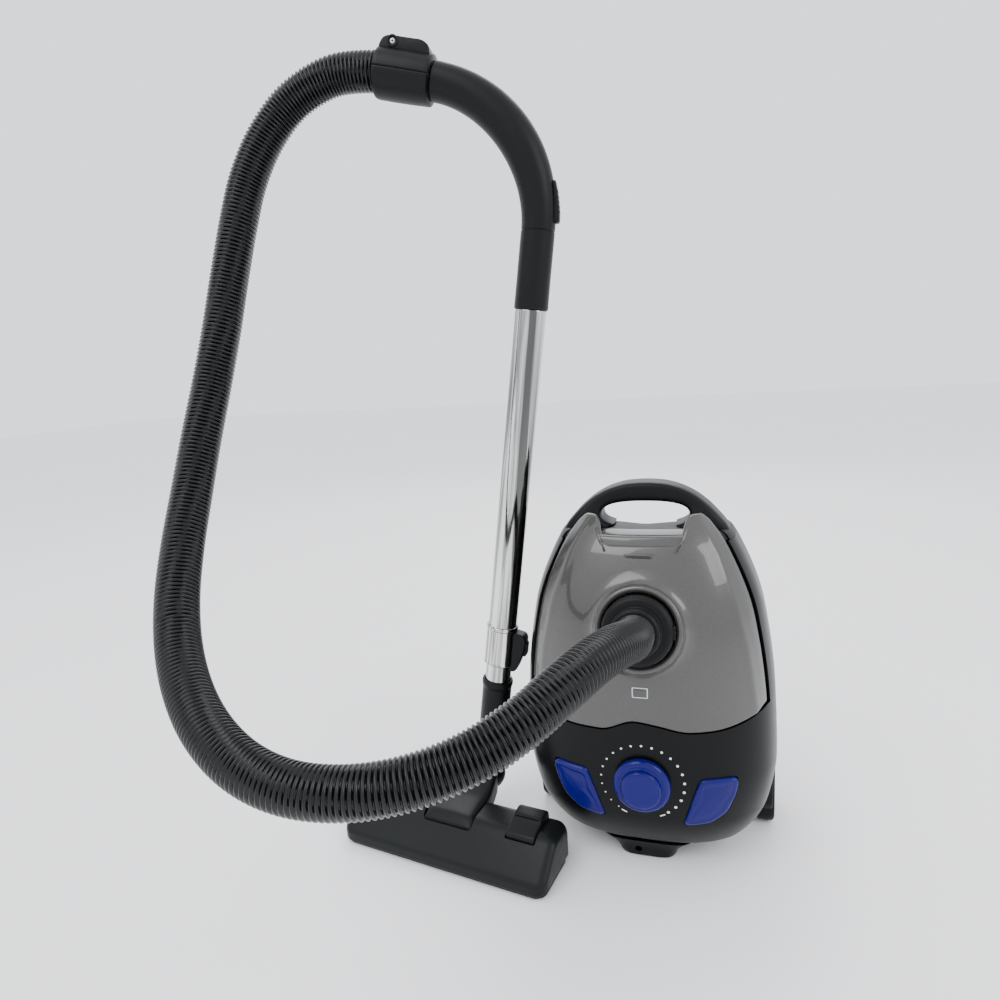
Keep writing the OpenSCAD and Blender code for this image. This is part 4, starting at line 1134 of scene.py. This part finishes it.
def grip_radius(angle):
    """The handle's radius at an angle along its bend: a swell in the middle and a steady rise to its end."""
    t = angle / BEND_ANGLE
    return GRIP_R + 2.2 * math.sin(math.pi * min(1, t * 1.05)) ** 1.5 + 1.2 * t


def handle_tube():
    """The handle: circles carried up a straight stretch and round the bend. They swell a little along the
    bend, as a moulded grip does, and a fine parting line circles the foot of the bend."""
    a = full_turn(72)
    circle = np.stack([np.cos(a), np.sin(a), 0 * a], -1)
    rows = [WAND.at(circle * (r, r, 0) + (0, 0, OUTER_END + z)) for r, z in
            ((14, -2), (17.4, 0), (18.4, 0.2), (19.1, 1.2), (19.2, 3), (18.9, 30), (18.8, 70), (GRIP_R, 82.6),
             (18.1, 83.2), (18.1, 83.9), (GRIP_R, 84.5))]
    angles = np.linspace(0.5, BEND_ANGLE - 1, 60)
    rows += [bend_place(angle).at(circle * grip_radius(angle)) for angle in angles]
    return face_out(surface("handle_grip", capped(np.stack(rows)), wrap_cols=True))


def clamp_half(upper):
    """Half of the clamp that holds the hose: part circles along the end of the handle, whose outside swells
    in the middle and whose bore opens in a step towards the hose."""
    spread = np.radians(np.linspace(-89.2, 89.2, 60) if upper else np.linspace(90.8, 269.2, 60))
    start, end = -1, CLAMP_LEN + 1.5
    z = np.linspace(start, end, 40)
    outside = np.interp(z, (start, -0.6, 0.8, 20, 40, 57, 60, end),
                        (21.8, 24, 25, 25.6, 25.8, 25.6, 24.8, 22.6))
    bore = 18.9 + 2.4 * step_up(z, 20, 24)

    def skin(radius):
        return np.stack([radius[:, None] * np.cos(spread), radius[:, None] * np.sin(spread),
                         np.repeat(z[:, None], len(spread), 1)], -1)

    outer, inner = skin(outside), skin(bore)
    grid = np.concatenate([outer, inner[::-1], outer[:1]])
    piece = surface("clamp_" + ("back" if upper else "front"), bend_place(BEND_ANGLE).at(grid), sharp=40)
    tidy = bmesh.new()
    tidy.from_mesh(piece.data)
    bmesh.ops.holes_fill(tidy, edges=[e for e in tidy.edges if e.is_boundary], sides=0)
    tidy.to_mesh(piece.data)
    tidy.free()
    return face_out(piece)


def lug_place():
    """The frame of the clamp's lug: the handle's end, seen from the side."""
    return bend_place(BEND_ANGLE).moved((0, 0, 0), FRONT_VIEW)


def clamp_lug():
    """The lug on the clamp's back: its side outline, thick across, with a turned boss on one face."""
    corners = [(20, 4), (30, 6), (34, 14), (34, 50), (31, 57), (24, 60), (20, 60)]
    outline = resample(rounded_outline(corners, 4, 8), 110)
    lug = plate("clamp_lug", outline, -14, 14, 2.6, lug_place(), 6)
    profile = [(3.4, -2), (6.2, -2), (6.2, 0.6), (5.6, 1.2), (4.4, 1.2), (3.8, 0.2), (3.4, -0.4), (3.4, -2)]
    return lug, lathe("screw_boss", profile, lug_place().moved(SCREW_AT), 48, 0.3)


def clamp_screw():
    """The clamp's screw: a turned head with a cross recess, sunk in the lug's boss."""
    place = lug_place().moved(SCREW_AT)
    profile = [(0.01, -2.5), (3.3, -2.5), (3.3, -0.5), (2.5, 0.05), (0.01, 0.1)]
    head = lathe("screw_head", profile, place, 48, 0.3)
    bars = [cutter(oblong(-long, long, -wide, wide, 0.1), -1.2, 1, place, 0.02)
            for long, wide in ((2, 0.4), (0.4, 2))]
    return carve(head, *bars)


def suction_slider():
    """The air slider: a low pad on the outside of the bend, with cross ribs for the thumb."""
    start, end = 2.2, 17.8
    count = 48
    rows = []
    for angle in np.linspace(start, end, 60):
        t = (angle - start) / (end - start)
        taper = (1 - np.abs(2 * t - 1) ** 6) ** (1 / 6) if 0 < t < 1 else 0.02
        ribs = 0.55 * abs(math.sin(math.pi * 9 * t)) if 0.2 < t < 0.8 else 0
        height = (2.6 + 2.3 * (1 - t) ** 2 + ribs) * taper
        loop = loop_of(height, 8.6 * max(taper, 0.05), count, 3.2)
        rows.append(bend_place(angle).at(
            np.stack([grip_radius(angle) + 0.2 + loop[:, 0], loop[:, 1], np.zeros(count)], -1)))
    return face_out(surface("air_slide_pad", capped(np.stack(rows)), wrap_cols=True, sharp=50))


# ---- Floor head ----

HEAD_CIRCLES = np.array([(-34, 14, 8), (-39, 6, 3), (4, 32, 20), (26, 36, 16), (39, 6, 3)], float)


def head_profile(count=110):
    """The outline round a set of circles: at each direction, the furthest point of the circle that reaches
    furthest that way, spaced evenly along the result."""
    a = full_turn(720)
    d = np.stack([np.cos(a), np.sin(a)], -1)
    reach = HEAD_CIRCLES[:, :2] @ d.T + HEAD_CIRCLES[:, 2:]
    best = HEAD_CIRCLES[reach.argmax(0)]
    return resample(best[:, :2] + best[:, 2:] * d, count)


def head_top(y):
    """Height of the head's upper surface at a depth y."""
    outline = head_profile(400)
    upper = outline[outline[:, 1] > 20]
    order = np.argsort(upper[:, 0])
    return np.interp(y, upper[order, 0], upper[order, 1])


def head_bar():
    """The head's housing: the end outline carried along its length. Near each end it draws in towards its
    middle along a quarter ellipse, and the ends are closed by a shallow dome."""
    outline = head_profile()
    outline[:, 1] = np.maximum(outline[:, 1], 4.2)
    middle = np.array([0, 26.0])
    half = HEAD_LEN / 2
    e = np.concatenate([np.array([0, 0.25, 0.8, 1.8, 3.2, 5, 7.5, 10.5, 14]), np.linspace(20, half, 24)])
    x = np.concatenate([-half + e, (half - e)[::-1][1:]])
    inset = 13 * (1 - np.sqrt(np.clip(1 - (1 - np.clip(e / 14, 0, 1)) ** 2, 0, 1)))
    inset = np.concatenate([inset, inset[::-1][1:]])
    flat = middle + (outline - middle)[None] * (1 - inset / 40)[:, None, None]
    grid = np.concatenate([np.broadcast_to(x[:, None, None], flat.shape[:2] + (1,)), flat], -1)
    piece = face_out(surface("head_housing", HEAD.at(capped(grid)), wrap_cols=True, sharp=50))
    slot = cutter(oblong(-33.4, 33.4, -14.4, 70, 6), 14, 90, HEAD)
    pocket = cutter(oblong(77, 115, -12, 60, 2), 39, 90, HEAD)
    base = cutter(oblong(-132, 132, -36, 37, 6), -5, 12, HEAD)
    return carve(piece, slot, pocket, base)


def neck_yoke():
    """The yoke plate: rounded oblong sections from its front edge, flush with the head, back to the neck's
    ball. Its width narrows and its underside rises on the way."""
    rows = np.array([(-13.6, 46.5, 31.4), (-12.8, 38, 32.2), (-8, 26, 32.6), (0, 20, 32.6), (14, 19.4, 32),
                     (30, 21, 30), (46, 27, 26.5), (58, 32, 23), (70, 37, 19.5), (78, 41, 16)])
    tops = np.concatenate([head_top(rows[:5, 0]) + 0.5, [53.2, 57, 62, 67, 69]])
    t = np.linspace(0, 1, 60)
    at = np.linspace(0, 1, len(rows))
    y, low, half, top = (smooth_through(t, at, v) for v in (rows[:, 0], rows[:, 1], rows[:, 2], tops))
    loop = loop_of(1, 1, 72, 7)
    grid = np.empty((len(t), len(loop), 3))
    lean = 8 * step_up(y, 10, 80)
    grid[..., 0] = lean[:, None] + half[:, None] * loop[:, 0]
    grid[..., 1] = y[:, None]
    crown_rise = 1.2 * (1 - loop[:, 0] ** 2) * (loop[:, 1] > 0)
    grid[..., 2] = ((low + top) / 2)[:, None] + ((top - low) / 2)[:, None] * loop[:, 1] + crown_rise
    return face_out(surface("yoke_plate", HEAD.at(capped(grid)), wrap_cols=True, sharp=50))


def rocker():
    """The rocker pedal: its side outline, thick across, with rounded edges and a thin front lip."""
    corners = [(-11, 44), (-11.4, 49.6), (-9.5, 52.4), (6, 56.4), (14, 60.6), (30, 62), (36, 57), (36, 46),
               (14, 42.4)]
    outline = resample(rounded_outline(corners, 3.2, 8), 110)
    place = HEAD.moved((96, 0, 0), SIDE_VIEW)
    piece = plate("rocker_pad", outline, -18, 18, 2.2, place, 6)
    groove = rounded_outline([(11.2, 57.2), (12.6, 57.4), (12.2, 70), (10.8, 70)], 0.2)
    return carve(piece, cutter(groove, -15, 15, place, 0.05))


# ---- Bag ----

def dust_bag():
    """The paper bag: superellipse sections up its height, broad and slack, with soft folds that ride round
    it and tuck in at its side gussets."""
    low, high = box_of("dust_bag")
    half, middle = (high - low) / 2, (high + low) / 2
    u = np.linspace(-1, 1, 70)
    a = full_turn(140)
    size = (1 - np.abs(u) ** 3.2) ** (1 / 3.2)
    taper = 1 - 0.16 * np.clip(u, 0, 1)
    loop = loop_of(1, 1, len(a), 2.8)
    fold = (0.018 * np.sin(7 * a[None] + 5 * u[:, None]) + 0.012 * np.sin(17 * a[None] - 9 * u[:, None])
            - 0.09 * np.exp(-((np.abs(np.cos(a[None])) - 1) / 0.015) ** 2))
    scale = (size * taper)[:, None] * (0.97 + fold)
    grid = np.stack([middle[0] + half[0] * loop[:, 0] * scale, middle[1] + half[1] * loop[:, 1] * scale,
                     middle[2] + half[2] * 0.98 * (u[:, None] + 0 * a)], -1)
    return face_out(surface("paper_bag", capped(grid), wrap_cols=True, sharp=80))


# ---- Sizes and colours that a user may change ----

class CleanerSettings(bpy.types.PropertyGroup):
    lid_colour: bpy.props.FloatVectorProperty(
        name="Lid colour", description="Paint of the lid", subtype="COLOR", size=3, min=0, max=1,
        default=(0.044, 0.0425, 0.039))
    black_colour: bpy.props.FloatVectorProperty(
        name="Casing colour", description="Plastic of the casing and the hose fittings", subtype="COLOR",
        size=3, min=0, max=1, default=(0.0022, 0.0023, 0.0026))
    head_colour: bpy.props.FloatVectorProperty(
        name="Floor head colour", description="Plastic of the floor head", subtype="COLOR", size=3, min=0,
        max=1, default=(0.0048, 0.0060, 0.0058))
    blue_colour: bpy.props.FloatVectorProperty(
        name="Control colour", description="Plastic of the knob and the pedals", subtype="COLOR", size=3,
        min=0, max=1, default=(0.0035, 0.0018, 0.105))
    hose_pitch: bpy.props.FloatProperty(
        name="Rib pitch", description="Distance from one rib of the hose to the next", subtype="DISTANCE",
        unit="LENGTH", default=0.0045, min=0.003, max=0.012)
    hose_depth: bpy.props.FloatProperty(
        name="Rib depth", description="Depth of the valleys between the ribs", subtype="DISTANCE",
        unit="LENGTH", default=0.0025, min=0.0003, max=0.003)
    floor_colour: bpy.props.FloatVectorProperty(
        name="Floor colour", description="The plain floor", subtype="COLOR", size=3, min=0, max=1,
        default=(0.93, 0.93, 0.93))


class CLEANER_OT_stage(bpy.types.Operator):
    """Adds the floor, the lights and the camera."""
    bl_idname = "cleaner.stage"
    bl_label = "Stage"

    def execute(self, context):
        make_camera()
        make_floor()
        make_lights()
        return {"FINISHED"}


def make_camera():
    """The camera: at a fixed place before the cleaner, turned by a heading, a pitch and a roll."""
    data = bpy.data.cameras.new("camera")
    data.lens = 25.4
    data.sensor_width = 36
    data.clip_end = 100
    camera = bpy.data.objects.new("camera", data)
    heading, pitch, roll = math.radians(17.3), math.radians(-11), math.radians(3.5)
    camera.matrix_world = (Matrix.Translation((0.077, -0.81, 0.581))
                           @ Matrix.Rotation(heading, 4, "Z")
                           @ Matrix.Rotation(math.radians(90) + pitch, 4, "X")
                           @ Matrix.Rotation(-roll, 4, "Z"))
    bpy.context.scene.collection.objects.link(camera)
    bpy.context.scene.camera = camera


def make_floor():
    """The floor: one wide quad grid, and a pale finish."""
    x, y = np.meshgrid(np.linspace(-9000, 9000, 7), np.linspace(-9000, 9000, 7))
    piece = surface("floor", np.stack([x, y, 0 * x], -1))
    if piece.data.polygons[0].normal.z < 0:
        piece.data.flip_normals()
    piece.data.materials.append(finish("floor", tuple(settings().floor_colour), 0.55, 0.03, 0.01, grain=300,
                                       bump=0.02, patch=2))


def make_lights():
    """Three broad soft lights and a pale world."""
    world = bpy.data.worlds.new("studio")
    world.use_nodes = True
    world.node_tree.nodes["Background"].inputs["Color"].default_value = (0.93, 0.95, 1, 1)
    world.node_tree.nodes["Background"].inputs["Strength"].default_value = 1.75
    bpy.context.scene.world = world
    for name, at, aim, size, power in (
            ("key light", (-0.9, -1.5, 2.4), (-0.05, 0, 0.3), 1.6, 34),
            ("side light", (1.7, -0.7, 1.5), (0, 0, 0.25), 1.0, 15),
            ("back light", (-0.4, 1.9, 1.9), (-0.1, 0, 0.3), 1.6, 22)):
        data = bpy.data.lights.new(name, "AREA")
        data.size = size
        data.energy = power
        light = bpy.data.objects.new(name, data)
        light.location = at
        light.rotation_euler = (Vector(aim) - Vector(at)).to_track_quat("-Z", "Y").to_euler()
        bpy.context.scene.collection.objects.link(light)


class CLEANER_OT_hose(bpy.types.Operator):
    """Builds the ribbed hose, in two lengths."""
    bl_idname = "cleaner.hose"
    bl_label = "Hose"

    def execute(self, context):
        held = bend_place(BEND_ANGLE).at((0, 0, CLAMP_LEN - HOSE_IN_CLAMP))
        line, length = spline_through(np.concatenate([HOSE_ROUTE, held[None]]), 2400)
        split = int(len(line) * HOSE_SPLIT)
        parts = (("hose_inlet_length", line[:split + 1], 0.0, "lid", "canister", line[0]),
                 ("hose_long_length", line[split:], length * HOSE_SPLIT, "canister", "wand_upper", line[split]))
        for name, points, start, body, next_body, leaves in parts:
            piece = hose_tube(name, points, start)
            piece.data.materials.append(finish_for("hose_plastic"))
            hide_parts("hose")
            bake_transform(piece)
        return {"FINISHED"}


class CLEANER_OT_casing(bpy.types.Operator):
    """Builds the front and back casings, the side fins, the wheel arches and the foot."""
    bl_idname = "cleaner.casing"
    bl_label = "Casing"

    def execute(self, context):
        place_on(casing_front(), "canister", "black_gloss", "top_cover")
        place_on(casing_back(), "canister", "black_matte", "base_shell")
        for side in SIDES:
            for build in (wheel_arch, side_fin, fin_root):
                place_on(build(side), "canister", "black_matte", "base_shell")
        place_on(caster_boss(), "canister", "black_matte", "base_shell")
        place_on(standing_foot(), "canister", "black_matte", "standing_foot")
        return {"FINISHED"}


class CLEANER_OT_carry_handle(bpy.types.Operator):
    """Builds the crown of the casing and the arch of the carry handle."""
    bl_idname = "cleaner.carry_handle"
    bl_label = "Carry handle"

    def execute(self, context):
        place_on(crown(), "canister", "black_matte", "carry_handle")
        place_on(grip_arch(), "canister", "black_matte", "carry_handle")
        return {"FINISHED"}


class CLEANER_OT_lid(bpy.types.Operator):
    """Builds the dust lid with its indicator and latch."""
    bl_idname = "cleaner.lid"
    bl_label = "Lid"

    def execute(self, context):
        place_on(dust_lid(), "lid", "lid_grey", "dust_lid")
        place_on(lid_ledge(), "lid", "lid_grey", "dust_lid")
        frame_piece, pane = indicator()
        place_on(frame_piece, "lid", "alu", "indicator_window")
        place_on(pane, "lid", "window", "indicator_window")
        place_on(latch_tab(), "latch", "lid_grey", "lid_latch")
        return {"FINISHED"}


class CLEANER_OT_inlet(bpy.types.Operator):
    """Builds the hose connector, its button and its cuff."""
    bl_idname = "cleaner.inlet"
    bl_label = "Inlet connector"

    def execute(self, context):
        place_on(connector_collar(), "connector", "black_matte", "hose_connector")
        place_on(hose_cuff(), "connector", "black_matte", "hose_end_cuff")
        place_on(connector_button(), "tab", "black_matte", "connector_tab")
        return {"FINISHED"}


class CLEANER_OT_controls(bpy.types.Operator):
    """Builds the speed knob, its dots and the two pedals."""
    bl_idname = "cleaner.controls"
    bl_label = "Controls"

    def execute(self, context):
        place_on(knob(), "knob", "blue_gloss", "speed_knob")
        place_on(dial_dots(), "canister", "white_print", "dial_marks")
        place_on(foot_pedal(1), "right_pedal", "blue_gloss", "power_pedal")
        place_on(foot_pedal(-1), "left_pedal", "blue_gloss", "rewind_pedal")
        return {"FINISHED"}


class CLEANER_OT_wheels(bpy.types.Operator):
    """Builds the tyres and the caster's roller."""
    bl_idname = "cleaner.wheels"
    bl_label = "Wheels"

    def execute(self, context):
        place_on(tyre(-1), "left_wheel", "tyre_rubber", "tyre_left")
        place_on(tyre(1), "right_wheel", "tyre_rubber", "tyre_right")
        place_on(caster_tyre(), "caster_roller", "tyre_rubber", "caster_wheel")
        return {"FINISHED"}


class CLEANER_OT_wand(bpy.types.Operator):
    """Builds the telescopic tubes, their lock, the handle, the clamp and the air slider."""
    bl_idname = "cleaner.wand"
    bl_label = "Wand and handle"

    def execute(self, context):
        place_on(outer_tube(), "wand_upper", "chrome_tube", "outer_tube")
        place_on(lock_sleeve(), "wand_upper", "chrome_tube", "lock_sleeve")
        place_on(lock_housing(), "lock", "black_matte", "lock_button")
        place_on(lock_button(), "lock", "black_matte", "lock_button")
        place_on(inner_tube(), "wand_lower", "chrome_tube", "inner_tube")
        place_on(handle_tube(), "wand_upper", "black_matte", "handle_tube")
        place_on(clamp_half(True), "wand_upper", "black_matte", "clamp_upper")
        place_on(clamp_half(False), "wand_upper", "black_matte", "clamp_lower")
        for piece in clamp_lug():
            place_on(piece, "wand_upper", "black_matte", "clamp_upper")
        place_on(clamp_screw(), "wand_upper", "steel", "clamp_screw")
        place_on(suction_slider(), "air_slider", "black_matte", "suction_slider")
        return {"FINISHED"}


class CLEANER_OT_floor_head(bpy.types.Operator):
    """Builds the neck, the yoke, the floor head and its rocker pedal."""
    bl_idname = "cleaner.floor_head"
    bl_label = "Floor head"

    def execute(self, context):
        place_on(neck_elbow(), "neck", "black_matte", "neck_elbow")
        place_on(neck_yoke(), "neck", "head_plastic", "neck_yoke")
        place_on(head_bar(), "head", "head_plastic", "head_shell")
        place_on(rocker(), "rocker", "head_plastic", "rocker_pedal")
        return {"FINISHED"}


class CLEANER_OT_bag(bpy.types.Operator):
    """Builds the paper bag inside the chamber."""
    bl_idname = "cleaner.bag"
    bl_label = "Dust bag"

    def execute(self, context):
        bag = place_on(dust_bag(), "canister", "bag_paper", "dust_bag")
        return {"FINISHED"}


class CLEANER_OT_finishes(bpy.types.Operator):
    """Gives the frame's own parts their finishes."""
    bl_idname = "cleaner.finishes"
    bl_label = "Finishes"

    def execute(self, context):
        slots = {s["node"]: s["material_slot"] for s in frame["record"]["subparts"]}
        for node, part in frame["nodes"].items():
            if part.hide_render:
                continue
            material = finish_for(slots[node])
            if not part.material_slots:
                raise RuntimeError(node + " has no material slot")
            for slot in part.material_slots:
                slot.link = "OBJECT"
                slot.material = material
        return {"FINISHED"}


class CLEANER_PT_panel(bpy.types.Panel):
    """Lists the cleaner's settings and its operators."""
    bl_label = "Cleaner"
    bl_idname = "CLEANER_PT_panel"
    bl_space_type = "VIEW_3D"
    bl_region_type = "UI"
    bl_category = "Cleaner"

    def draw(self, context):
        for name in CleanerSettings.__annotations__:
            self.layout.prop(context.scene.cleaner, name)
        for operator in OPERATORS:
            self.layout.operator(operator.bl_idname)


OPERATORS = (CLEANER_OT_stage, CLEANER_OT_hose, CLEANER_OT_casing, CLEANER_OT_carry_handle, CLEANER_OT_lid,
             CLEANER_OT_inlet, CLEANER_OT_controls, CLEANER_OT_wheels, CLEANER_OT_wand, CLEANER_OT_floor_head,
             CLEANER_OT_bag, CLEANER_OT_finishes)
CLASSES = (CleanerSettings, *OPERATORS, CLEANER_PT_panel)


def register():
    for each in CLASSES:
        bpy.utils.register_class(each)
    bpy.types.Scene.cleaner = bpy.props.PointerProperty(type=CleanerSettings)


def unregister():
    del bpy.types.Scene.cleaner
    for each in reversed(CLASSES):
        bpy.utils.unregister_class(each)


def main():
    register()
    for operator in OPERATORS:
        group, name = operator.bl_idname.split(".")
        if "FINISHED" not in getattr(getattr(bpy.ops, group), name)():
            raise RuntimeError(operator.bl_label + " didn't finish")
    bpy.context.view_layer.update()


if __name__ == "__main__":
    main()
